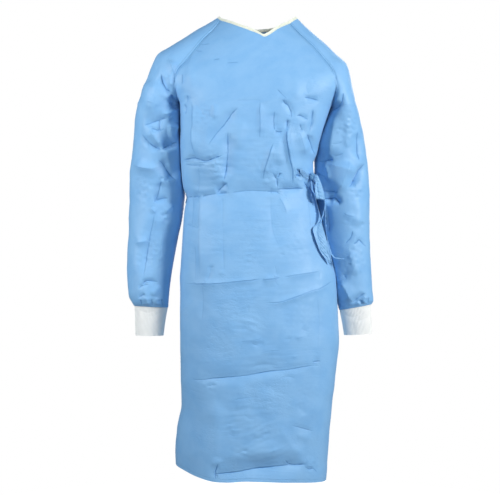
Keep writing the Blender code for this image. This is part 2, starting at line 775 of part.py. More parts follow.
TAB = {"start": 0.06, "end": -0.50, "top": 1.05, "low": 2.15, "lift": 2.3, "thick": 1.2}
PATCH = {"start": -0.25, "end": -0.56, "top": 1.0, "low": 2.2, "lift": 0.5, "thick": 0.9}


def build_neck_closure():
    # A hook tab on the over panel, reaching on to a loop patch on the under panel.
    for name, size, under in (("neck_hook_tab", TAB, False), ("neck_loop_patch", PATCH, True)):
        across = np.linspace(size["start"], size["end"], 7)
        station = np.linspace(size["top"], size["low"], 4)
        points = body_surface("back", across[None, :], station[:, None])
        normals = outward(points, -1.0)
        lift = size["lift"] + (lap_shift(across, False) if under else 0 * across)
        inner = points + normals * lift[None, :, None]
        wall(name, inner + normals * size["thick"], inner, "closure")


# The tie's ribbons, each through rows of its two edges
RIBBON_COLUMNS = ("edge_x", "edge_y", "edge_down", "other_x", "other_y", "other_down")
RIBBONS = {
    "tie_bow_loop": (
        (147.0, -71.2, 416.0, 148.5, -70.9, 424.0),
        (154.0, -77.0, 417.0, 150.5, -80.0, 432.0),
        (161.5, -79.0, 431.0, 149.5, -82.0, 446.0),
        (168.0, -79.5, 450.0, 149.5, -83.0, 462.0),
        (174.5, -78.0, 477.0, 151.5, -82.0, 474.5),
        (175.0, -75.0, 480.0, 152.5, -78.5, 478.5),
        (173.5, -72.0, 475.0, 152.5, -75.5, 473.0),
        (167.5, -70.5, 450.0, 152.0, -73.0, 458.0),
        (161.0, -69.5, 434.0, 153.5, -70.5, 442.0),
        (157.0, -67.5, 423.0, 155.5, -67.0, 433.0),
        (151.4, -66.8, 420.0, 151.2, -66.4, 427.0),
    ),
    "tie_tail_upper": (
        (149.0, -66.5, 428.4, 147.4, -61.5, 429.6),
        (154.0, -66.0, 438.0, 152.5, -56.5, 440.0),
        (161.0, -65.0, 450.0, 160.0, -49.5, 452.0),
        (169.0, -67.0, 464.0, 169.0, -45.0, 466.0),
        (174.0, -68.5, 480.0, 174.0, -44.0, 480.0),
        (175.2, -70.0, 498.0, 175.0, -46.0, 498.0),
        (171.5, -73.0, 514.0, 171.0, -50.0, 514.0),
        (166.5, -79.0, 530.0, 163.5, -62.0, 532.0),
        (165.5, -83.0, 537.0, 157.0, -76.0, 541.0),
    ),
    "tie_tail_broad": (
        (165.6, -83.2, 537.6, 156.8, -76.4, 541.6),
        (168.0, -83.5, 548.0, 143.5, -86.5, 553.0),
        (175.0, -79.0, 571.0, 147.0, -90.5, 572.0),
        (180.0, -77.0, 592.0, 153.5, -88.5, 592.0),
        (184.0, -75.0, 612.0, 162.0, -84.5, 612.0),
        (186.5, -73.5, 626.0, 173.0, -79.5, 627.0),
        (189.5, -71.0, 640.0, 187.5, -71.8, 641.0),
    ),
    "tie_tail_second": (
        (150.2, -62.5, 422.0, 149.6, -59.5, 425.0),
        (158.0, -57.0, 429.0, 157.0, -47.0, 431.0),
        (168.0, -50.0, 443.0, 168.0, -30.0, 445.0),
        (175.5, -42.0, 470.0, 175.5, -18.0, 470.0),
        (177.5, -40.0, 500.0, 177.5, -16.0, 500.0),
        (178.0, -44.0, 540.0, 178.0, -20.0, 540.0),
        (180.5, -58.0, 575.0, 181.5, -33.0, 575.0),
        (184.5, -68.0, 600.0, 187.5, -43.0, 600.0),
        (189.5, -70.0, 618.0, 193.5, -45.0, 618.0),
        (198.0, -70.5, 627.0, 201.0, -45.0, 627.0),
        (211.0, -70.0, 630.0, 212.0, -44.0, 630.0),
        (224.0, -69.0, 631.0, 224.0, -43.0, 631.0),
    ),
}
KNOT = {"x": 142.8, "y": -64.8, "down": 421.0, "wide": 8.0, "deep": 8.0, "high": 10.5}
KNOT_WRAPS = {"groove": 0.9, "turns": 2.5, "slant": 0.6}
KNOT_MESH = {"u_segments": 14, "v_segments": 9}


def build_ribbon(name):
    rows = np.array(RIBBONS[name], dtype=float)
    edge = np.stack([rows[:, 0], rows[:, 1], -rows[:, 2]], axis=-1)
    other = np.stack([rows[:, 3], rows[:, 4], -rows[:, 5]], axis=-1)
    share = np.array([0.0, 0.5, 1.0])[None, :, None]
    points = edge[:, None] + (other - edge)[:, None] * share
    normals = outward(points, 1.0)
    wall(name, points + normals * CLOTH / 2, points - normals * CLOTH / 2, "cloth")


def build_knot():
    # A rounded knot with two shallow wraps round it.
    mesh = bpy.data.meshes.new("tie_knot")
    work = bmesh.new()
    bmesh.ops.create_uvsphere(work, radius=1.0, **KNOT_MESH)
    groove = KNOT_WRAPS["groove"] / KNOT["wide"]
    for vertex in work.verts:
        ball = vertex.co.copy()
        wrap = math.sin(KNOT_WRAPS["turns"] * (ball.z + KNOT_WRAPS["slant"] * ball.x))
        size = 1 - groove * abs(wrap)
        vertex.co.x = (KNOT["x"] + ball.x * size * KNOT["wide"]) * MM
        vertex.co.y = (KNOT["y"] + ball.y * size * KNOT["deep"]) * MM
        vertex.co.z = (-KNOT["down"] + ball.z * KNOT["high"]) * MM
    bmesh.ops.recalc_face_normals(work, faces=work.faces[:])
    work.to_mesh(mesh)
    work.free()
    mesh.shade_smooth()
    mesh.materials.append(material("cloth"))
    bpy.context.collection.objects.link(bpy.data.objects.new("tie_knot", mesh))


def main():
    for item in list(bpy.data.objects):
        bpy.data.objects.remove(item)
    front, back = build_shell()
    build_binding()
    build_neck_closure()
    for which in ("right", "left"):
        build_cuff(which)
    build_belt(front, back)
    build_sewn_end(front)
    for name in RIBBONS:
        build_ribbon(name)
    build_knot()


main()
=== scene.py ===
import math

import bmesh
import bpy
import numpy as np
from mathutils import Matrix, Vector
from mathutils.kdtree import KDTree


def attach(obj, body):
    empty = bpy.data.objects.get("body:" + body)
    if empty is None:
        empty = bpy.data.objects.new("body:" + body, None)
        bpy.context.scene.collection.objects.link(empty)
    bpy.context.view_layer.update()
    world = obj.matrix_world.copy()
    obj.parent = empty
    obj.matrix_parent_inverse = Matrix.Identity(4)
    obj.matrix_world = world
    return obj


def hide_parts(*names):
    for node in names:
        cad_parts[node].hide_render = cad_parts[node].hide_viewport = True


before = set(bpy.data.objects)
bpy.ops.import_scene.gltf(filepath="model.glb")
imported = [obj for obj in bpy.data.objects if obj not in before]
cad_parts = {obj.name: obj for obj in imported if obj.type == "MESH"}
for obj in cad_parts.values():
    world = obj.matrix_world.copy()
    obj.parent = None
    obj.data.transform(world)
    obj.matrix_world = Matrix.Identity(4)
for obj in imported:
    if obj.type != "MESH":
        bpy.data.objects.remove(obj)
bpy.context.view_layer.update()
mm = 0.001
print("packed model loaded:", len(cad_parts), "nodes")


# Camera, lights and floor

camera = {"eye": (-15.6, -3000.0, -607.6), "frameWide": 1300.0, "sensor": 36.0}
whiteness = {"seen": 1.0, "lighting": 0.25}
shadeTint = (0.27, 0.61, 0.93)
lamps = {
    "key": {"place": (2.1, -1.5, 0.4), "aim": (0.0, 0.0, -0.55), "wide": 0.7, "high": 0.7, "power": 68.0},
    "fill": {
        "place": (-1.35, -0.85, 0.0), "aim": (-0.25, 0.0, -0.4), "wide": 0.6, "high": 0.8, "power": 19.0
    },
    "facing": {"place": (0.4, -2.9, 0.0), "aim": (0.0, 0.0, -0.6), "wide": 1.2, "high": 1.0, "power": 12.0},
    "behind": {"place": (0.5, 2.8, 0.6), "aim": (0.0, 0.0, -0.6), "wide": 2.2, "high": 2.2, "power": 58.0},
}
warmth = (1.0, 0.985, 0.95)
floor = {"down": 1500.0, "reach": 1.5, "sides": 128, "paleFrom": 0.55, "whiteFrom": 1.1, "bounce": 0.38}


def makeCamera():
    data = bpy.data.cameras.new("camera")
    data.sensor_width = camera["sensor"]
    data.lens = camera["sensor"] * -camera["eye"][1] / camera["frameWide"]
    made = bpy.data.objects.new("camera", data)
    made.location = Vector(camera["eye"]) * mm
    made.rotation_euler = (math.pi / 2, 0.0, 0.0)
    bpy.context.collection.objects.link(made)
    bpy.context.scene.camera = made


def makeLights():
    for name, lamp in lamps.items():
        data = bpy.data.lights.new(name, "AREA")
        data.shape = "RECTANGLE"
        data.size = lamp["wide"]
        data.size_y = lamp["high"]
        data.energy = lamp["power"]
        data.color = warmth
        made = bpy.data.objects.new(name, data)
        made.location = lamp["place"]
        toward = Vector(lamp["aim"]) - Vector(lamp["place"])
        made.rotation_euler = toward.to_track_quat("-Z", "Y").to_euler()
        bpy.context.collection.objects.link(made)


def makeWorld():
    # The surroundings are seen white, and light the cloth more softly than they look.
    world = bpy.data.worlds.new("studio")
    bpy.context.scene.world = world
    world.use_nodes = True
    tree = world.node_tree
    tree.nodes.clear()
    seen = tree.nodes.new("ShaderNodeBackground")
    seen.inputs["Strength"].default_value = whiteness["seen"]
    lighting = tree.nodes.new("ShaderNodeBackground")
    lighting.inputs["Strength"].default_value = whiteness["lighting"]
    seen.inputs["Color"].default_value = (1.0, 1.0, 1.0, 1.0)
    lighting.inputs["Color"].default_value = (*shadeTint, 1.0)
    path = tree.nodes.new("ShaderNodeLightPath")
    mix = tree.nodes.new("ShaderNodeMixShader")
    output = tree.nodes.new("ShaderNodeOutputWorld")
    tree.links.new(path.outputs["Is Camera Ray"], mix.inputs[0])
    tree.links.new(lighting.outputs[0], mix.inputs[1])
    tree.links.new(seen.outputs[0], mix.inputs[2])
    tree.links.new(mix.outputs[0], output.inputs["Surface"])
    bpy.context.scene.view_settings.view_transform = "Standard"


makeCamera()
makeLights()
makeWorld()
print("camera, lights and surroundings made")


# Finishes


class Signal:
    # A socket that can stand in a sum: each operator adds its Math node.
    def __init__(self, finish, socket):
        self.finish = finish
        self.socket = socket

    def math(self, operation, *others):
        return self.finish.node("ShaderNodeMath", {"operation": operation}, self, *others)

    def __add__(self, other):
        return self.math("ADD", other)

    def __sub__(self, other):
        return self.math("SUBTRACT", other)

    def __rsub__(self, other):
        return self.finish.node("ShaderNodeMath", {"operation": "SUBTRACT"}, other, self)

    def __mul__(self, other):
        return self.math("MULTIPLY", other)

    def __truediv__(self, other):
        return self.math("DIVIDE", other)

    __radd__ = __add__
    __rmul__ = __mul__


class Finish:
    # One material. Its node method takes a type, settings and the values or links of its sockets.
    def __init__(self, name, roughness, sheen=0.0, sheenTint=(1.0, 1.0, 1.0), specular=0.5):
        self.material = bpy.data.materials.new(name)
        self.material.use_nodes = True
        self.tree = self.material.node_tree
        self.surface = self.tree.nodes["Principled BSDF"]
        self.surface.inputs["Metallic"].default_value = 0.0
        self.surface.inputs["Roughness"].default_value = roughness
        self.surface.inputs["Specular IOR Level"].default_value = specular
        self.surface.inputs["Sheen Weight"].default_value = sheen
        self.surface.inputs["Sheen Roughness"].default_value = 0.4
        self.surface.inputs["Sheen Tint"].default_value = (*sheenTint, 1.0)

    def plug(self, socket, value):
        if isinstance(value, Signal):
            self.tree.links.new(value.socket, socket)
        else:
            socket.default_value = value

    def node(self, kind, settings, *values, out=0, **named):
        made = self.tree.nodes.new(kind)
        for key, value in settings.items():
            setattr(made, key, value)
        for socket, value in zip(made.inputs, values):
            self.plug(socket, value)
        for key, value in named.items():
            self.plug(made.inputs[key], value)
        return Signal(self, made.outputs[out])

    def laid(self, layer):
        # A UV layer in metres, as a vector and its two parts.
        vector = self.node("ShaderNodeUVMap", {"uv_map": layer}, out="UV")
        return vector, self.part(vector, "X"), self.part(vector, "Y")

    def part(self, vector, axis):
        return self.node("ShaderNodeSeparateXYZ", {}, vector, out=axis)

    def noise(self, vector, scale=1.0, stretch=None, turn=0.0, detail=2.0, rough=0.5, bent=0.0):
        if stretch is not None:
            vector = self.node("ShaderNodeMapping", {}, vector, Scale=stretch, Rotation=(0.0, 0.0, turn))
        settings = {"noise_dimensions": "3D"}
        sockets = {"Scale": scale, "Detail": detail, "Roughness": rough, "Distortion": bent}
        return self.node("ShaderNodeTexNoise", settings, Vector=vector, out="Fac", **sockets)

    def wave(self, value, pitch):
        return (value * (2 * math.pi / pitch)).math("SINE")

    def eased(self, value, low, high):
        settings = {"interpolation_type": "SMOOTHSTEP"}
        return self.node("ShaderNodeMapRange", settings, value, low, high, 0.0, 1.0)

    def stripe(self, value, middle, half):
        # One on a line of the given half width, easing to nothing beside it.
        off = (value - middle).math("ABSOLUTE")
        return 1.0 - self.eased(off, half * 0.4, half)

    def stitches(self, edge, run, look):
        # A row of stitches beside an edge. "run" is the way along it.
        dash = self.eased(self.wave(run, look["stitchPitch"]), *look["stitchEdge"])
        return self.stripe(edge, look["stitchLine"], look["stitchHalf"]) * dash

    def mixed(self, share, first, second):
        made = self.tree.nodes.new("ShaderNodeMix")
        made.data_type = "RGBA"
        self.plug(made.inputs["Factor"], share)
        for key, value in (("A", first), ("B", second)):
            socket = [item for item in made.inputs if item.name == key and item.type == "RGBA"][0]
            self.plug(socket, (*value, 1.0) if isinstance(value, tuple) else value)
        return Signal(self, [item for item in made.outputs if item.type == "RGBA"][0])

    def done(self, colour, height, depth, roughness=None):
        # Height is in units of "depth" metres.
        self.plug(self.surface.inputs["Base Color"], colour)
        normal = self.node("ShaderNodeBump", {}, Strength=1.0, Distance=depth, Height=height, out="Normal")
        self.plug(self.surface.inputs["Normal"], normal)
        if roughness is not None:
            self.plug(self.surface.inputs["Roughness"], roughness)
        return self.material


clothLook = {
    "surface": {"roughness": 0.52, "sheen": 0.18, "sheenTint": (0.75, 0.88, 1.0), "specular": 0.42},
    "colour": (0.235, 0.464, 0.748),
    "cloudy": (0.200, 0.427, 0.724),
    "stitch": (0.105, 0.300, 0.560),
    # Painted shade: the colour laid along the crease lines.
    "creaseShade": (0.045, 0.190, 0.480),
    "clouds": {"scale": 16.0, "detail": 4.0, "rough": 0.6},
    "cloudEdge": (0.35, 0.7),
    "fibre": {"stretch": (900.0, 420.0, 1.0), "rough": 0.6},
    "bondPitch": 0.0026,
    "patch": {"scale": 7.0},
    "patchEdge": (0.42, 0.66),
    "crinkle": {"stretch": (70.0, 120.0, 1.0), "turn": 0.35, "detail": 3.0, "rough": 0.55, "bent": 0.6},
    "ripple": {"stretch": (14.0, 105.0, 1.0), "turn": -0.06, "bent": 0.3},
    "rippled": {"scale": 5.0, "detail": 1.0},
    "rippledEdge": (0.45, 0.62),
    # The painted shade line along each crease: its half width, wander, strength and breaks.
    "foldHalf": 0.0014,
    "foldWander": 0.0016,
    "foldShade": 0.84,
    "wander": {"scale": 90.0, "detail": 1.0},
    "broken": {"scale": 55.0, "detail": 1.0},
    "brokenLeast": 0.55,
    "brokenMore": 0.9,
    "seamHalf": 0.0026,
    "seamDark": 0.55,
    "stitchLine": 0.0055,
    "stitchHalf": 0.0013,
    "stitchPitch": 0.0032,
    "stitchEdge": (-0.2, 0.2),
    "stitchDark": 0.7,
    "hemLine": 0.007,
    "hemHalf": 0.0012,
    "hemTurn": 0.001,
    "hemDark": 0.2,
    "hemDash": 0.15,
    "shine": 0.46,
    "shineClouds": 0.14,
    # How far each mark stands out or lies in, in bump depths.
    "high": {
        "fibre": 0.05, "bonds": 0.03, "crinkle": 2.2, "ripple": 0.8, "fold": 1.3, "seam": 0.9,
        "stitch": 0.5, "hem": 0.6, "turning": 0.35,
    },
    "bump": 0.0008,
}


def clothFinish(name, hemmed=True):
    # Laminated nonwoven: cloudy fibre, point bonds, short crinkles and fine ripples across the cloth. The
    # fold lines are painted shade, darker where the cloth creases.
    look, high = clothLook, clothLook["high"]
    made = Finish(name, **look["surface"])
    lay, across, down = made.laid("cloth")
    clouds = made.noise(lay, **look["clouds"])
    fibre = made.noise(lay, **look["fibre"])
    bonds = made.wave(across, look["bondPitch"]) * made.wave(down, look["bondPitch"])
    patch = made.eased(made.noise(lay, **look["patch"]), *look["patchEdge"])
    ridged = (made.noise(lay, **look["crinkle"]) - 0.5).math("ABSOLUTE")
    ripple = made.noise(lay, **look["ripple"])
    rippled = made.eased(made.noise(lay, **look["rippled"]), *look["rippledEdge"])
    colour = made.mixed(made.eased(clouds, *look["cloudEdge"]), look["colour"], look["cloudy"])
    height = fibre * high["fibre"] + bonds * high["bonds"]
    height = height - ridged * patch * high["crinkle"] + ripple * rippled * high["ripple"]
    # Painted shade: the fold layer darkens the cloth along each crease line, where shade falls in the fold.
    _, offset, dark = made.laid("fold")
    wander = (made.noise(lay, **look["wander"]) - 0.5) * look["foldWander"]
    offset = (offset + wander) / look["foldHalf"]
    line = (offset * offset * -1.0).math("EXPONENT")
    line = line * dark * (look["brokenLeast"] + look["brokenMore"] * made.noise(lay, **look["broken"]))
    colour = made.mixed(line * look["foldShade"], colour, look["creaseShade"])
    height = height - line * high["fold"]
    _, edge, along = made.laid("seam")
    line = made.stripe(edge, 0.0, look["seamHalf"])
    sewing = made.stitches(edge, along, look)
    colour = made.mixed(line * look["seamDark"], colour, look["stitch"])
    colour = made.mixed(sewing * look["stitchDark"], colour, look["stitch"])
    height = height - line * high["seam"] - sewing * high["stitch"]
    if hemmed:
        dash = made.wave(across, look["stitchPitch"])
        hem = made.stripe(down, look["hemLine"], look["hemHalf"])
        turning = 1.0 - made.eased(down, look["hemLine"], look["hemLine"] + look["hemTurn"])
        colour = made.mixed(hem * (look["hemDark"] + look["hemDash"] * dash), colour, look["stitch"])
        height = height - hem * high["hem"] + turning * high["turning"]
    return made.done(colour, height, look["bump"], look["shine"] + look["shineClouds"] * clouds)


knitLook = {
    "surface": {"roughness": 0.88, "sheen": 0.25, "specular": 0.25},
    # Painted shade: the darker colour of the grooves between the ribs.
    "groove": (0.83, 0.81, 0.78),
    "rib": (0.94, 0.92, 0.89),
    "cloudy": (0.89, 0.87, 0.84),
    "loopPitch": 0.0013,
    "ribPitch": 0.0034,
    "ribEdge": (-1.0, 0.6),
    "fuzz": {"scale": 1400.0, "rough": 0.6},
    "clouds": {"scale": 40.0, "detail": 3.0, "rough": 0.6},
    "cloudEdge": (0.4, 0.8),
    "cloudShare": 0.3,
    "high": {"loops": 0.12, "ribs": 0.3, "fuzz": 0.25},
    "bump": 0.0004,
}


def knitFinish(name):
    # Rib knit: rows of small loops down each rib. The grooves between the ribs are painted shade, coloured
    # darker.
    look, high = knitLook, knitLook["high"]
    made = Finish(name, **look["surface"])
    lay, across, down = made.laid("cloth")
    loops, ribs = made.wave(down, look["loopPitch"]), made.wave(across, look["ribPitch"])
    fuzz = made.noise(lay, **look["fuzz"])
    clouds = made.eased(made.noise(lay, **look["clouds"]), *look["cloudEdge"])
    # Painted shade: the grooves between the ribs take the darker colour.
    colour = made.mixed(made.eased(ribs, *look["ribEdge"]), look["groove"], look["rib"])
    colour = made.mixed(clouds * look["cloudShare"], colour, look["cloudy"])
    height = loops * high["loops"] + ribs * high["ribs"] + fuzz * high["fuzz"]
    return made.done(colour, height, look["bump"])


bindingLook = {
    "surface": {"roughness": 0.80, "sheen": 0.2, "specular": 0.3},
    "colour": (0.88, 0.87, 0.72),
    "cloudy": (0.80, 0.80, 0.66),
    "stitch": (0.55, 0.56, 0.48),
    "fibre": {"stretch": (700.0, 1600.0, 1.0), "rough": 0.6},
    "clouds": {"scale": 60.0, "detail": 3.0},
    "cloudEdge": (0.35, 0.75),
    "stitchLine": 0.0016,
    "stitchHalf": 0.0006,
    "stitchPitch": 0.003,
    "stitchEdge": (-0.3, 0.3),
    "stitchDark": 0.5,
    "high": {"fibre": 0.3, "clouds": 0.4, "stitch": 0.8},
    "bump": 0.0005,
}


def bindingFinish(name):
    look, high = bindingLook, bindingLook["high"]
    made = Finish(name, **look["surface"])
    lay, across, _ = made.laid("cloth")
    _, edge, _ = made.laid("seam")
    fibre = made.noise(lay, **look["fibre"])
    clouds = made.noise(lay, **look["clouds"])
    sewing = made.stitches(edge, across, look)
    colour = made.mixed(made.eased(clouds, *look["cloudEdge"]), look["colour"], look["cloudy"])
    colour = made.mixed(sewing * look["stitchDark"], colour, look["stitch"])
    height = fibre * high["fibre"] + clouds * high["clouds"] - sewing * high["stitch"]
    return made.done(colour, height, look["bump"])


tapeLook = {
    "surface": {"roughness": 0.85, "sheen": 0.3, "specular": 0.3},
    "colour": (0.84, 0.86, 0.86),
    "cloudy": (0.76, 0.79, 0.80),
    "stitch": (0.55, 0.60, 0.66),
    "hookPitch": 0.0016,
    "felt": {"scale": 1500.0, "detail": 3.0, "rough": 0.7},
    "clouds": {"scale": 120.0},
    "cloudEdge": (0.3, 0.8),
    "stitchLine": 0.0025,
    "stitchHalf": 0.0007,
    "stitchPitch": 0.003,
    "stitchEdge": (-0.2, 0.3),
    "stitchDark": 0.6,
    "high": {"face": 0.5, "stitch": 0.9},
    "bump": 0.0004,
}


def tapeFinish(name, hooked):
    # Hook or loop tape: rows of stiff hooks, or a felted face.
    look, high = tapeLook, tapeLook["high"]
    made = Finish(name, **look["surface"])
    lay, across, down = made.laid("cloth")
    if hooked:
        face = made.wave(across, look["hookPitch"]) * made.wave(down, look["hookPitch"])
    else:
        face = made.noise(lay, **look["felt"])
    clouds = made.noise(lay, **look["clouds"])
    _, edge, along = made.laid("seam")
    sewing = made.stitches(edge, along, look)
    colour = made.mixed(made.eased(clouds, *look["cloudEdge"]), look["colour"], look["cloudy"])
    colour = made.mixed(sewing * look["stitchDark"], colour, look["stitch"])
    return made.done(colour, face * high["face"] - sewing * high["stitch"], look["bump"])


floorLook = {
    "surface": {"roughness": 0.9, "specular": 0.1},
    "pale": (0.88, 0.88, 0.88),
    "grey": (0.85, 0.85, 0.85),
    "far": (0.2, 0.2, 0.2),
    "grain": {"scale": 3.0, "detail": 3.0},
    "grainEdge": (0.3, 0.8),
    "bump": 0.0002,
}


def floorFinish(name):
    # Seen pale, but it throws only a little light back up at the cloth.
    look = floorLook
    made = Finish(name, **look["surface"])
    place = made.node("ShaderNodeTexCoord", {}, out="Object")
    grain = made.noise(place, **look["grain"])
    reach = made.node("ShaderNodeVectorMath", {"operation": "LENGTH"}, place, out="Value")
    white = made.eased(reach, floor["paleFrom"], floor["whiteFrom"])
    colour = made.mixed(made.eased(grain, *look["grainEdge"]), look["pale"], look["grey"])
    colour = made.mixed(white, colour, look["far"])
    seen = made.node("ShaderNodeLightPath", {}, out="Is Camera Ray")
    colour = made.mixed(seen, (floor["bounce"],) * 3, colour)
    glow = made.mixed(white * seen, (0.0, 0.0, 0.0), (1.0, 1.0, 1.0))
    made.plug(made.surface.inputs["Emission Color"], glow)
    made.surface.inputs["Emission Strength"].default_value = 1.0
    return made.done(colour, grain, look["bump"])


def makeFloor():
    work = bmesh.new()
    bmesh.ops.create_circle(work, cap_ends=True, radius=floor["reach"], segments=floor["sides"])
    bmesh.ops.translate(work, verts=work.verts[:], vec=(0.0, 0.0, -floor["down"] * mm))
    mesh = bpy.data.meshes.new("studio_floor")
    work.to_mesh(mesh)
    work.free()
    mesh.materials.append(floorFinish("floor"))
    made = bpy.data.objects.new("studio_floor", mesh)
    bpy.context.collection.objects.link(made)


makeFloor()
finishes = {
    "panel": clothFinish("gown_cloth"),
    "strip": clothFinish("tie_cloth", hemmed=False),
    "knit": knitFinish("rib_knit"),
    "binding": bindingFinish("neck_binding"),
    "hook": tapeFinish("hook_tape", True),
    "loop": tapeFinish("loop_tape", False),
}
print("finishes made:", len(finishes))


# Curves and sheets


def ramp(start, end, value):
    share = np.clip((value - start) / (end - start), 0.0, 1.0)
    return share * share * (3 - 2 * share)


def eased(places, values, place):
    # A cubic through the rows that never overshoots them.
    place = np.clip(place, places[0], places[-1])
    steps = np.diff(places)
    rises = np.diff(values) / steps
    slopes = np.concatenate([rises[:1], np.zeros(len(rises) - 1), rises[-1:]])
    for i in range(1, len(rises)):
        if rises[i - 1] * rises[i] > 0:
            slopes[i] = 2 * rises[i - 1] * rises[i] / (rises[i - 1] + rises[i])
    i = np.clip(np.searchsorted(places, place, side="right") - 1, 0, len(steps) - 1)
    t = (place - places[i]) / steps[i]
    start = values[i] * (1 + 2 * t) * (1 - t) ** 2 + slopes[i] * steps[i] * t * (1 - t) ** 2
    end = values[i + 1] * t**2 * (3 - 2 * t) + slopes[i + 1] * steps[i] * t**2 * (t - 1)
    return start + end


class Table:
    # Rows of named columns, read anywhere between the rows by their first column.
    def __init__(self, columns, *rows):
        values = np.array(rows, dtype=float).T
        self.key = values[0]
        self.columns = dict(zip(columns.split(), values))

    def at(self, column, place):
        return eased(self.key, self.columns[column], place)


def outward(points, like):
    # Unit normals of a grid of points, on the side that "like" points to.
    normals = np.cross(np.gradient(points, axis=1), np.gradient(points, axis=0))
    normals = normals / np.maximum(np.linalg.norm(normals, axis=-1, keepdims=True), 1e-9)
    return normals * np.sign(np.sum(normals * like))


def gridLengths(points):
    # How far each point of a grid lies along its row and along its column, on the cloth.
    across = np.linalg.norm(np.diff(points, axis=1), axis=-1)
    down = np.linalg.norm(np.diff(points, axis=0), axis=-1)
    across = np.concatenate([np.zeros((points.shape[0], 1)), np.cumsum(across, axis=1)], axis=1)
    down = np.concatenate([np.zeros((1, points.shape[1])), np.cumsum(down, axis=0)])
    return across, down


shell = {"thick": 0.6, "sharp": 16.0}


def sheetPiece(name, points, like, finish, thick=None, seam=None, fold=None, centred=False):
    # Bends a grid onto the points and gives it the cloth's thickness. "like" points out of the cloth.
    rows, columns = points.shape[:2]
    mesh = bpy.data.meshes.new(name)
    work = bmesh.new()
    work.loops.layers.uv.new("cloth")
    bmesh.ops.create_grid(work, x_segments=columns - 1, y_segments=rows - 1, size=1.0, calc_uvs=True)
    facing = np.cross(np.gradient(points, axis=0), np.gradient(points, axis=1))
    if np.sum(facing * like) < 0:
        bmesh.ops.reverse_faces(work, faces=work.faces[:])
    work.to_mesh(mesh)
    work.free()
    flat = np.zeros(len(mesh.vertices) * 3)
    mesh.vertices.foreach_get("co", flat)
    flat = flat.reshape(-1, 3)
    column = np.rint((flat[:, 0] + 1) / 2 * (columns - 1)).astype(int)
    row = np.rint((1 - flat[:, 1]) / 2 * (rows - 1)).astype(int)
    mesh.vertices.foreach_set("co", (points[row, column] * mm).ravel())
    across, down = gridLengths(points)
    fromHem = down[-1:] - down
    corner = np.zeros(len(mesh.loops), dtype=int)
    mesh.loops.foreach_get("vertex_index", corner)
    if seam is None:
        hidden = seamSink["hidden"] if finish == "strip" else 0.0
        seam = (np.minimum(across, across[:, -1:] - across) + hidden, down)
    fold = (np.full(points.shape[:2], lineReach["far"]), np.zeros(points.shape[:2])) if fold is None else fold
    layers = {"cloth": (across, fromHem), "seam": seam, "fold": fold}
    for layer, (first, second) in layers.items():
        found = mesh.uv_layers.get(layer) or mesh.uv_layers.new(name=layer)
        pair = np.stack([first[row, column][corner], second[row, column][corner]], axis=-1) * mm
        found.data.foreach_set("uv", pair.ravel())
    work = bmesh.new()
    work.from_mesh(mesh)
    bmesh.ops.remove_doubles(work, verts=work.verts[:], dist=1e-6)
    work.to_mesh(mesh)
    work.free()
    made = bpy.data.objects.new(name, mesh)
    bpy.context.collection.objects.link(made)
    solid = made.modifiers.new("thickness", "SOLIDIFY")
    solid.thickness = (shell["thick"] if thick is None else thick) * mm
    solid.offset = 0.0 if centred else -1.0
    mesh.materials.append(finishes[finish])
    return settled(made)


def settled(made):
    # Applies the modifiers, then smooths all but the cut edges.
    graph = bpy.context.evaluated_depsgraph_get()
    mesh = bpy.data.meshes.new_from_object(made.evaluated_get(graph))
    made.modifiers.clear()
    old = made.data
    made.data = mesh
    bpy.data.meshes.remove(old)
    mesh.shade_smooth()
    mesh.set_sharp_from_angle(angle=math.radians(shell["sharp"]))
    return made


def cutSize(points):
    # The width, length and area of the flat cloth that a grid of points was cut from.
    across, down = gridLengths(points)
    sides = np.diff(points, axis=1)[:-1], np.diff(points, axis=0)[:, :-1]
    area = np.linalg.norm(np.cross(*sides), axis=-1).sum()
    wide, long = across[:, -1].max(), down[-1].max()
    return wide * mm, long * mm, min(area, wide * long) * mm * mm


def placed(made, node, size=None):
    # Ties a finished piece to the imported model, with the size that its cloth is cut to.
    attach(made, "root")
    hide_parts(node)
    if size is not None:
        print(f"  cut {size[0]:.3f} x {size[1]:.3f} m, {size[2]:.4f} square metres")
    triangles = sum(len(face.vertices) - 2 for face in made.data.polygons)
    print("made", node, "with", triangles, "triangles")


# Creases

profiles = {
    # How far the cloth lifts at a distance across the line, counted in widths.
    "ridge": lambda away: np.exp(-away * away),
    "trough": lambda away: -np.exp(-1.3 * np.abs(away) ** 1.3),
    "crest": lambda away: np.clip(1.04 - np.sqrt(away * away + 0.006) / 2, 0.0, 1.0) ** 2,
    "valley": lambda away: -np.clip(1.04 - np.sqrt(away * away + 0.006) / 2, 0.0, 1.0) ** 2,
}
creaseShape = {
    "reach": 3.0, "liftTaper": 0.30, "lineTaper": 0.12, "narrowest": 0.45, "uneven": 0.18, "unevenSpan": 19.0
}
# How far the painted shade beside a fold line reaches, and how far a crest's shade line moves to its shaded
# side.
lineReach = {"near": 5.0, "far": 9.0, "crestShift": 1.5}


def smoothLine(points, steps=5):
    # A smooth line through given points.
    points = np.array(points, dtype=float)
    if len(points) < 3:
        return points
    padded = np.concatenate([2 * points[:1] - points[1:2], points, 2 * points[-1:] - points[-2:-1]])
    line = []
    for before, start, end, after in zip(padded, padded[1:], padded[2:], padded[3:]):
        for share in np.arange(steps) / steps:
            bend = 2 * before - 5 * start + 4 * end - after
            twist = 3 * start - before - 3 * end + after
            line.append(start + 0.5 * share * (end - before + share * (bend + share * twist)))
    return np.array(line + [points[-1]])


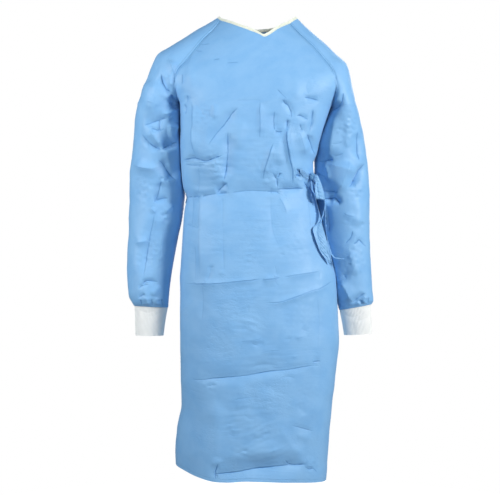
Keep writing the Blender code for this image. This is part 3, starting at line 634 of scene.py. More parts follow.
def creaseLift(creases, x, down):
    # The lift of every crease at each place, with the way to the nearest fold line and the painted shade
    # along it. A row is kind, depth, width below or left of the line, width above or right of it, painted
    # shade strength, then its points.
    lift = np.zeros(x.shape)
    offset = np.full(x.shape, lineReach["far"])
    dark = np.zeros(x.shape)
    for number, (kind, deep, wideBelow, wideAbove, paintedShade, *points) in enumerate(creases):
        line = smoothLine(points)
        reach = creaseShape["reach"] * max(wideBelow, wideAbove)
        low, high = line.min(axis=0) - reach, line.max(axis=0) + reach
        near = (x > low[0]) & (x < high[0]) & (down > low[1]) & (down < high[1])
        if not near.any():
            continue
        placeX, placeDown = x[near], down[near]
        closest = np.full(placeX.shape, np.inf)
        across = np.zeros(placeX.shape)
        along = np.zeros(placeX.shape)
        lengths = np.linalg.norm(np.diff(line, axis=0), axis=-1)
        total, gone = lengths.sum(), 0.0
        for start, end, length in zip(line[:-1], line[1:], lengths):
            run = (end - start) / length
            offX, offDown = placeX - start[0], placeDown - start[1]
            reached = np.clip(offX * run[0] + offDown * run[1], 0.0, length)
            away = np.hypot(offX - reached * run[0], offDown - reached * run[1])
            side = np.where(offDown * run[0] - offX * run[1] < 0, -1.0, 1.0)
            nearer = away < closest
            closest = np.where(nearer, away, closest)
            across = np.where(nearer, side * away, across)
            along = np.where(nearer, (gone + reached) / total, along)
            gone += length
        fromEnd = np.minimum(along, 1 - along)
        narrow = ramp(0.0, creaseShape["liftTaper"], fromEnd)
        fade = ramp(0.0, creaseShape["lineTaper"], fromEnd)
        waist = creaseShape["narrowest"] + (1 - creaseShape["narrowest"]) * narrow
        away = across / np.where(across > 0, wideBelow, wideAbove) / waist
        phase = along * total / creaseShape["unevenSpan"] + 1.7 * number
        uneven = 1 + creaseShape["uneven"] * np.sin(phase)
        lift[near] += deep * profiles[kind](away) * narrow * uneven
        if paintedShade > 0:
            # A crest's painted shade line is moved onto its shaded side.
            if kind == "crest":
                across = across - lineReach["crestShift"]
            nearer = closest < np.abs(offset[near])
            offset[near] = np.where(nearer, across, offset[near])
            shade = paintedShade * fade * uneven * (1 - ramp(lineReach["near"], lineReach["far"], closest))
            dark[near] = np.where(nearer, shade, dark[near])
    return lift, offset, dark


crinkleWaves = ((0.5, 17.0), (1.3, 13.0), (2.2, 15.0), (2.9, 11.0))  # each one's turn and pitch


def crinkleLift(patches, x, down):
    # Patches of short crossed crinkles. A row is x, down, half width, half height, depth.
    lift = np.zeros(x.shape)
    for number, (middleX, middleDown, wide, high, deep) in enumerate(patches):
        inside = np.exp(-(((x - middleX) / wide) ** 2) - ((down - middleDown) / high) ** 2)
        shape = np.zeros(x.shape)
        for turn, pitch in crinkleWaves:
            phase = (x * math.cos(turn + number) + down * math.sin(turn + number)) / pitch * math.pi
            shape += 0.5 - np.abs(np.sin(phase + 1.3 * number + np.sin(down / 21.0)))
        lift += deep * inside * shape / 2
    return lift


def rippleLift(patches, x, down):
    # Patches of long low ripples. A row is x, down, half width, half height, depth, pitch, fall to the right.
    lift = np.zeros(x.shape)
    for number, (middleX, middleDown, wide, high, deep, pitch, fall) in enumerate(patches):
        inside = np.exp(-(((x - middleX) / wide) ** 2) - ((down - middleDown) / high) ** 2)
        wander = 1.6 * np.sin(x / 31.0 + 2.1 * number) + 0.9 * np.sin(x / 13.0 + down / 29.0)
        turn = (down - fall * x) * 2 * math.pi / pitch
        lift += deep * inside * (np.sin(turn + wander) + 0.5 * np.sin(1.7 * turn - wander + number))
    return lift


crumpled = {
    # Cell width and height, and how far the bowls and the pillows between the fine folds stand out.
    "front": (58.0, 74.0, 2.0, 1.8),
    "back": (56.0, 70.0, 2.0, 1.8),
    "sleeve": (50.0, 66.0, 2.4, 2.0),
}
calm = {
    # The crumple's share at the neck, and where it starts and ends growing: millimetres down for the body,
    # stations for the sleeve.
    "body": (0.35, 160.0, 260.0),
    "sleeve": (0.3, 4.0, 8.0),
}
scatter = {"first": (127.1, 311.7), "second": (269.5, 183.3), "spread": 437.5, "inset": 0.15, "room": 0.7}
lean = {"across": 0.35, "down": 0.25, "wider": 1.3, "lower": 0.8, "level": 0.25}


def cells(across, down, seed):
    # The squared distance to the nearest of many scattered points, one in each square.
    nearest = np.full(across.shape, np.inf)
    column, row = np.floor(across), np.floor(down)
    for stepX in (-1, 0, 1):
        for stepY in (-1, 0, 1):
            spotX, spotY = column + stepX, row + stepY
            (firstX, firstY), (secondX, secondY) = scatter["first"], scatter["second"]
            first = np.sin(spotX * firstX + spotY * firstY + seed) * scatter["spread"]
            second = np.sin(spotX * secondX + spotY * secondY + seed * 1.7) * scatter["spread"]
            awayX = spotX + scatter["inset"] + scatter["room"] * (first - np.floor(first)) - across
            awayY = spotY + scatter["inset"] + scatter["room"] * (second - np.floor(second)) - down
            nearest = np.minimum(nearest, awayX**2 + awayY**2)
    return nearest


def crumpleLift(kind, across, down, seed):
    # Flat facets with fine folds between them, as stiff nonwoven gets when it has been packed.
    wide, high, bowl, pillow = crumpled[kind]
    leanAcross = across + lean["across"] * down
    leanDown = down - lean["down"] * across
    bowls = cells(leanAcross / wide, down / high, seed)
    pillows = cells(across / wide / lean["wider"], leanDown / high / lean["lower"], seed + 5.3)
    return bowl * (bowls - lean["level"]) - pillow * (pillows - lean["level"])


def calmed(kind, place):
    least, start, end = calm[kind]
    return least + (1 - least) * ramp(start, end, place)


def seenFromFront(points):
    # Where each point shows on the upright plane through the neck points.
    eyeX, eyeY, eyeZ = camera["eye"]
    grow = eyeY / (eyeY - points[..., 1])
    return eyeX + (points[..., 0] - eyeX) * grow, -(eyeZ + (points[..., 2] - eyeZ) * grow)


# How squarely cloth faces front or back where its creases start to show, and where they show in full.
creaseFacing = (0.04, 0.3)


def creased(points, normals, creases, patches, side, ripples=()):
    # The lift on the front (side -1) or the back (side 1), fading where the cloth turns away. The front's
    # creases are placed as the camera sees them, the back's straight through.
    x, down = seenFromFront(points) if side < 0 else (points[..., 0], -points[..., 2])
    lift, offset, dark = creaseLift(creases, x, down)
    lift += crinkleLift(patches, x, down) + rippleLift(ripples, x, down)
    facing = ramp(*creaseFacing, side * normals[..., 1])
    return lift * facing, offset, dark * facing


def lineLengths(line):
    # How far along a line each of its points lies.
    return np.concatenate([[0.0], np.cumsum(np.linalg.norm(np.diff(line, axis=0), axis=-1))])


def fromSeam(points, lines):
    # How far each point lies from the nearest sewn line, and how far along that line.
    lengths = [lineLengths(line) for line in lines]
    dense = [np.arange(0.0, length[-1], seamSink["step"]) for length in lengths]
    along = np.concatenate(dense)
    tree = KDTree(len(along))
    count = 0
    for line, length, places in zip(lines, lengths, dense):
        spots = np.stack([np.interp(places, length, line[:, axis]) for axis in range(3)], axis=-1)
        for spot in spots:
            tree.insert(spot, count)
            count += 1
    tree.balance()
    found = [tree.find(point) for point in points.reshape(-1, 3)]
    distance = np.array([item[2] for item in found]).reshape(points.shape[:2])
    place = np.array([along[item[1]] for item in found]).reshape(points.shape[:2])
    return distance, place


# The cut. Stations count the sections from the neck (0) past the underarm (9) to the hem or the cuff.

cut = {
    "underarm": 9.0,
    "skirtStations": 10.0,
    "sleeveEnd": 21.0,
    "neckFade": 1.5,
    "yokeRound": 2.2,
    "yokeSettles": 2.7,
    "underarmDown": {"right": 229.3, "left": 243.6},
    "hemDown": {"right": 1159.0, "left": 1200.0},
    "armpitClear": 0.5,
    "sleeveClear": 1.2,
    "sleeveSoft": 3.0,
    "bindingWide": 8.0,
    "bindingTuck": 1.5,
    "lap": 0.20,
    "lapEase": 0.30,
    "lapOut": 1.6,
}
sideSign = {"right": -1.0, "left": 1.0}
forward, backward = np.array((0.0, -1.0, 0.0)), np.array((0.0, 1.0, 0.0))

sideEdge = {
    "right": Table(
        "down x",
        (229.3, -195), (337, -196.5), (420, -192), (448, -188), (473, -178), (490, -182.5), (543, -188.5),
        (600, -192.4), (690, -197), (900, -196), (1008, -193), (1073, -205), (1128, -209), (1159, -208.5),
    ),
    "left": Table(
        "down x",
        (243.6, 191.4), (300, 171.6), (360, 156.8), (383, 147.7), (430, 152.5), (475, 156.5), (524, 169),
        (558, 177), (626, 195), (690, 207.5), (770, 212), (840, 215), (900, 209.5), (998, 198.5),
        (1122, 186.5), (1200, 181.5),
    ),
}
trunk = Table(
    "station front back round",
    (0.0, 75, 72, 3.3), (3.0, 95, 94, 3.3), (6.0, 109, 107, 3.3), (9.0, 117, 113, 3.3), (9.6, 118, 112, 3.1),
    (10.2, 117, 109, 2.8), (10.9, 112, 104, 2.5), (11.4, 106, 99, 2.4), (12.0, 113, 108, 2.4),
    (13.0, 123, 124, 2.4), (14.5, 132, 133, 2.4), (16.5, 137, 134, 2.4), (19.0, 141, 132, 2.4),
)
neckDrop = {
    "front": Table(
        "across drop",
        (-1.0, 0), (-0.75, 9), (-0.53, 17), (-0.16, 29), (0.12, 38), (0.25, 43.5), (0.36, 39.5),
        (0.5, 30.5), (0.66, 19), (1.0, 0),
    ),
    "back": Table("across drop", (-1.0, 0), (-0.6, 4), (0.0, 7), (0.6, 4), (1.0, 0)),
}
hemDrop = {
    "front": Table(
        "across drop",
        (-1.0, 0), (-0.7, 1), (-0.44, 10), (-0.27, 14.5), (-0.16, 12), (0.0, 3), (0.16, -1), (0.39, -3.5),
        (1.0, 0),
    ),
    "back": Table("across drop", (-1.0, 0), (-0.5, 9), (0.0, 5), (0.5, 1), (1.0, 0)),
}
sleeveColumns = "station outX outDown inX inDown reach halfDeep midY backAngle curl"
sleeveCut = {
    "right": Table(
        sleeveColumns,
        (0, -94.6, 0.8, -94.3, 9.4, 50, 40, 1, 135, 16),
        (1, -124.8, 18.7, -113.2, 38.4, 55, 52, 4, 150, 10),
        (2, -156.0, 35.6, -135.8, 64.3, 60, 60, 7, 160, 5),
        (3, -192.4, 59.0, -155.8, 92.5, 65, 66, 9, 168, 2),
        (4, -226.2, 79.8, -178.5, 124.1, 70, 70, 10, 175, 0),
        (5, -255.5, 98.0, -200.0, 151.2, 72, 74, 11, 182, 0),
        (6, -273.0, 131.8, -207.0, 172.5, 67, 77, 12, 191, 0),
        (7, -287.0, 168.2, -207.5, 194.3, 63, 79, 13, 203, 0),
        (8, -300.5, 204.6, -203.0, 214.8, 59, 79, 14, 224, 0),
        (9, -311.5, 241.0, -195.0, 229.3, 57, 78, 15, 270, 0),
        (10, -316.0, 275.0, -190.0, 268.0, 60, 75, 18, 270, 0),
        (11, -321.0, 332.0, -186.0, 328.0, 60, 71, 23, 270, 0),
        (12, -327.0, 378.0, -184.0, 374.0, 60, 69, 27, 270, 0),
        (13, -331.0, 425.0, -183.0, 423.0, 60, 67, 30, 270, 0),
        (14, -332.5, 475.0, -187.0, 473.0, 60, 64, 32, 270, 0),
        (15, -333.0, 524.0, -193.0, 524.0, 60, 61, 30, 270, 0),
        (16, -334.8, 575.0, -203.5, 573.0, 60, 57, 26, 270, 0),
        (17, -336.3, 625.0, -212.5, 623.0, 60, 53, 20, 270, 0),
        (18, -335.5, 675.0, -221.0, 675.0, 60, 49, 14, 270, 0),
        (19, -333.0, 722.0, -226.2, 722.0, 60, 44, 8, 270, 0),
        (20, -326.0, 741.0, -227.5, 743.0, 60, 38, 6, 270, 0),
        (21, -318.0, 752.0, -228.0, 756.6, 60, 28, 5, 270, 0),
    ),
    "left": Table(
        sleeveColumns,
        (0, 104.0, 1.8, 90.1, 19.8, 50, 40, 1, 133, 12),
        (1, 130.0, 27.8, 110.3, 46.1, 56, 52, 4, 148, 8),
        (2, 155.1, 49.4, 131.4, 69.4, 61, 60, 7, 158, 4),
        (3, 182.1, 72.1, 151.4, 91.3, 66, 66, 9, 166, 2),
        (4, 209.3, 99.1, 171.4, 117.5, 68, 70, 10, 173, 0),
        (5, 236.5, 124.8, 189.1, 142.3, 62, 74, 11, 181, 0),
        (6, 245.0, 152.6, 200.7, 164.8, 50, 78, 12, 190, 0),
        (7, 251.0, 183.8, 205.6, 191.7, 41, 80, 13, 203, 0),
        (8, 257.5, 215.0, 199.5, 220.0, 38, 81, 14, 224, 0),
        (9, 266.0, 243.6, 191.4, 243.6, 36, 80, 15, 270, 0),
        (10, 272.0, 272.0, 176.0, 272.0, 60, 76, 18, 270, 0),
        (11, 280.6, 303.0, 162.0, 303.0, 60, 71, 23, 270, 0),
        (12, 288.0, 345.0, 150.0, 345.0, 60, 69, 27, 270, 0),
        (13, 294.0, 394.0, 153.5, 392.0, 60, 67, 30, 270, 0),
        (14, 297.5, 440.0, 150.0, 440.0, 60, 66, 32, 270, 0),
        (15, 298.5, 491.0, 152.0, 491.0, 60, 65, 33, 270, 0),
        (16, 298.5, 540.0, 163.0, 540.0, 60, 62, 33, 270, 0),
        (17, 299.0, 595.0, 176.0, 595.0, 60, 58, 32, 270, 0),
        (18, 302.0, 650.0, 190.0, 650.0, 60, 53, 29, 270, 0),
        (19, 305.2, 714.0, 199.0, 714.0, 60, 46, 26, 270, 0),
        (20, 307.5, 737.0, 211.0, 743.0, 60, 39, 24, 270, 0),
        (21, 303.5, 748.5, 217.5, 764.0, 60, 28, 22, 270, 0),
    ),
}


def sleeveAngles(which, station):
    # The sleeve's first and last angle at a station: its two raglan seams, or one underarm seam.
    rows = sleeveCut[which]
    span = np.hypot(
        rows.at("outX", station) - rows.at("inX", station),
        rows.at("outDown", station) - rows.at("inDown", station),
    )
    closed = station >= cut["underarm"]
    reach = np.where(closed, span / 2, np.maximum(rows.at("reach", station), span / 2))
    front = np.arcsin(np.clip(1 - span / reach, -1.0, 1.0))
    back = np.radians(rows.at("backAngle", station))
    return np.where(closed, -math.pi / 2, front), np.where(closed, 1.5 * math.pi, back), span, reach


def bodyEdge(which, y, down):
    # Where the body's side lies at a depth.
    top, low = cut["underarmDown"][which], cut["hemDown"][which]
    station = cut["underarm"] + cut["skirtStations"] * np.clip((down - top) / (low - top), 0.0, 1.0)
    right, left = sideEdge["right"].at("x", down), sideEdge["left"].at("x", down)
    deep = np.where(y < 0, trunk.at("front", station), trunk.at("back", station))
    power = trunk.at("round", station)
    share = np.clip(1 - (np.abs(y) / deep) ** power, 0.0, 1.0) ** (1 / power)
    return (right + left) / 2 + sideSign[which] * (left - right) / 2 * share


def sleeveSurface(which, station, angle):
    rows = sleeveCut[which]
    side = sideSign[which]
    _, _, span, reach = sleeveAngles(which, station)
    outX, outDown = rows.at("outX", station), rows.at("outDown", station)
    towardX = (outX - rows.at("inX", station)) / span
    towardDown = (outDown - rows.at("inDown", station)) / span
    sine, cosine = np.sin(angle), np.cos(angle)
    x = outX - towardX * reach * (1 - sine) - side * rows.at("curl", station) * cosine**2
    down = outDown - towardDown * reach * (1 - sine)
    y = rows.at("midY", station) - rows.at("halfDeep", station) * cosine
    grown = ramp(cut["underarm"], cut["underarm"] + 1.2, station)
    clear = cut["armpitClear"] + (cut["sleeveClear"] - cut["armpitClear"]) * grown
    free = side * (bodyEdge(which, y, down) + side * clear)
    held = (side * x + free + np.sqrt((side * x - free) ** 2 + (cut["sleeveSoft"] * grown) ** 2)) / 2
    x = np.where(station >= cut["underarm"], side * held, x)
    return np.stack([x, y, -down], axis=-1)


def seamPoint(which, face, station):
    front, back, _, _ = sleeveAngles(which, station)
    return sleeveSurface(which, station, front if face == "front" else back)


def bodySurface(face, across, station):
    # The front or back panel: across runs from -1 at the wearer's right edge to 1 at the left edge.
    across, station = np.broadcast_arrays(np.asarray(across, float), np.asarray(station, float))
    quarter = across * math.pi / 2
    power = 2 / trunk.at("round", station)
    wide, deep = np.sign(quarter) * np.abs(np.sin(quarter)) ** power, np.abs(np.cos(quarter)) ** power
    yoke = np.minimum(station, cut["underarm"])
    skirt = np.clip((station - cut["underarm"]) / cut["skirtStations"], 0.0, 1.0)
    turn = ramp(cut["yokeSettles"], cut["underarm"], station)
    flat = 1 - np.abs(across) ** cut["yokeRound"]
    wide, deep = across + (wide - across) * turn, flat + (deep - flat) * turn
    ends = {}
    for which in ("right", "left"):
        end = seamPoint(which, face, yoke)
        low = cut["underarmDown"][which] + (cut["hemDown"][which] - cut["underarmDown"][which]) * skirt
        x = np.where(skirt > 0, sideEdge[which].at("x", low), end[..., 0])
        armpit = sleeveCut[which].at("midY", cut["underarm"])
        settling = armpit * (1 - ramp(cut["underarm"], cut["underarm"] + 1.0, station))
        y = np.where(station >= cut["underarm"], settling, end[..., 1])
        ends[which] = np.stack([x, y, np.where(skirt > 0, -low, end[..., 2])], axis=-1)
    line = ends["right"] + (ends["left"] - ends["right"]) * ((wide + 1) / 2)[..., None]
    out = (-1.0 if face == "front" else 1.0) * trunk.at(face, station)
    y = line[..., 1] + (out - (ends["right"][..., 1] + ends["left"][..., 1]) / 2) * deep
    fade = (1 - yoke / cut["underarm"]) ** cut["neckFade"]
    drop = neckDrop[face].at("drop", across) * fade + hemDrop[face].at("drop", across) * skirt**2
    return np.stack([line[..., 0], y, line[..., 2] - drop], axis=-1)


softening = {"reach": 90.0, "passes": 260, "edge": 60.0, "settle": 12.0}


def softened(points, like):
    # Rounds off the turn in the cloth where the yoke meets the skirt, and leaves the sewn edges alone.
    middle = (cut["underarmDown"]["right"] + cut["underarmDown"]["left"]) / 2
    across, _ = gridLengths(points)
    fromEnd = across[:, -1:] - across
    inner = np.minimum(across, fromEnd)
    if like[1] > 0:
        inner = np.where(np.abs(points[:, :1, 0]) > np.abs(points[:, -1:, 0]), across, fromEnd)
    share = np.exp(-(((-points[..., 2] - middle) / softening["reach"]) ** 2))
    level = points.copy()
    for _ in range(softening["passes"]):
        level[1:-1] += 0.25 * (level[:-2] + level[2:] - 2 * level[1:-1])
    moved = (level - points) * (share * ramp(0.0, softening["edge"], inner))[..., None]
    moved[..., 1] = (level - points)[..., 1] * share * ramp(0.0, softening["settle"], inner)
    return points + moved


def firstStation(surface, below):
    # The station whose distance from the neckline, on the cloth, is "below".
    probe = 0.2
    reach = np.linalg.norm(surface(probe) - surface(0.0), axis=-1)
    return probe * below / reach


def levels(yokeRows, lowerRows, end):
    upper = np.linspace(0.0, cut["underarm"], yokeRows + 1)[:-1]
    return np.concatenate([upper, np.linspace(cut["underarm"], end, lowerRows + 1)])[:, None]


def tucked(surface, level):
    # Stations of every row, the first of them just under the binding.
    first = firstStation(surface, cut["bindingWide"] - cut["bindingTuck"])
    return np.where(level < cut["underarm"], first + level * (1 - first / cut["underarm"]), level)


def lapShift(across, over):
    # The back panels' overlap: the over panel stands out, the under panel lies in.
    reach = across if over else -across
    fading = 1 - ramp(cut["lap"], cut["lap"] + cut["lapEase"], reach)
    return cut["lapOut"] * fading * (1 if over else -1)


def bodyGrid(face, start, end, rows, columns):
    # A body panel's points, equally far apart along each row.
    level = levels(*rows, cut["underarm"] + cut["skirtStations"])
    dense = np.linspace(start, end, 401)[None, :] * np.ones_like(level)
    station = tucked(lambda place: bodySurface(face, dense, place), level)
    lengths, _ = gridLengths(bodySurface(face, dense, station))
    share = np.linspace(0.0, 1.0, columns + 1)
    across = np.array([np.interp(share * row[-1], row, place) for row, place in zip(lengths, dense)])
    station = tucked(lambda place: bodySurface(face, across, place), level)
    return across, station, bodySurface(face, across, station)


def sleeveGrid(which, rows, columns):
    level = levels(*rows, cut["sleeveEnd"])
    share = np.linspace(0.0, 1.0, columns + 1)[None, :]

    def surface(station):
        front, back, _, _ = sleeveAngles(which, station * np.ones_like(share))
        return sleeveSurface(which, station * np.ones_like(share), front + (back - front) * share)

    station = tucked(surface, level)
    front, back, _, _ = sleeveAngles(which, station)
    points = sleeveSurface(which, station, front + (back - front) * share)
    closed = level[:, 0] >= cut["underarm"]
    points[closed, -1] = points[closed, 0]
    return station, points, closed


seamSink = {
    "deep": 0.9, "wide": 2.2, "fadeFrom": 2.0, "fadeTo": 15.0, "pucker": 0.30, "puckerPitch": 9.0,
    "puckerAt": 5.0, "puckerHalf": 4.0, "wander": 1.5, "wanderSpan": 17.0, "neckCalm": 12.0, "step": 0.8,
    "hidden": 9.0, "hideFrom": 5.0, "hideTo": 7.5,
}


def sewn(points, normals, lift, distance, along, neckRows, sunk=1.0):
    # Fades the creases towards the sewn edges and sinks the cloth into the seams, with small puckers.
    sink = seamSink
    lift = lift * ramp(sink["fadeFrom"], sink["fadeTo"], distance)
    wander = sink["wander"] * np.sin(along / sink["wanderSpan"])
    pucker = np.sin(along * 2 * math.pi / sink["puckerPitch"] + wander)
    beside = (distance - sink["puckerAt"]) / sink["puckerHalf"]
    lift = lift + sink["pucker"] * pucker * np.exp(-(beside**2))
    lift = lift - sunk * sink["deep"] * np.exp(-((distance / sink["wide"]) ** 2))
    lift = lift * ramp(0.0, sink["neckCalm"], neckRows)
    return points + normals * lift[..., None]


def unstitched(distance, station):
    # Lets the stitch line run out on the lower raglan seam, and keeps it off the seams below.
    return distance + seamSink["hidden"] * ramp(seamSink["hideFrom"], seamSink["hideTo"], station)


# Front panel

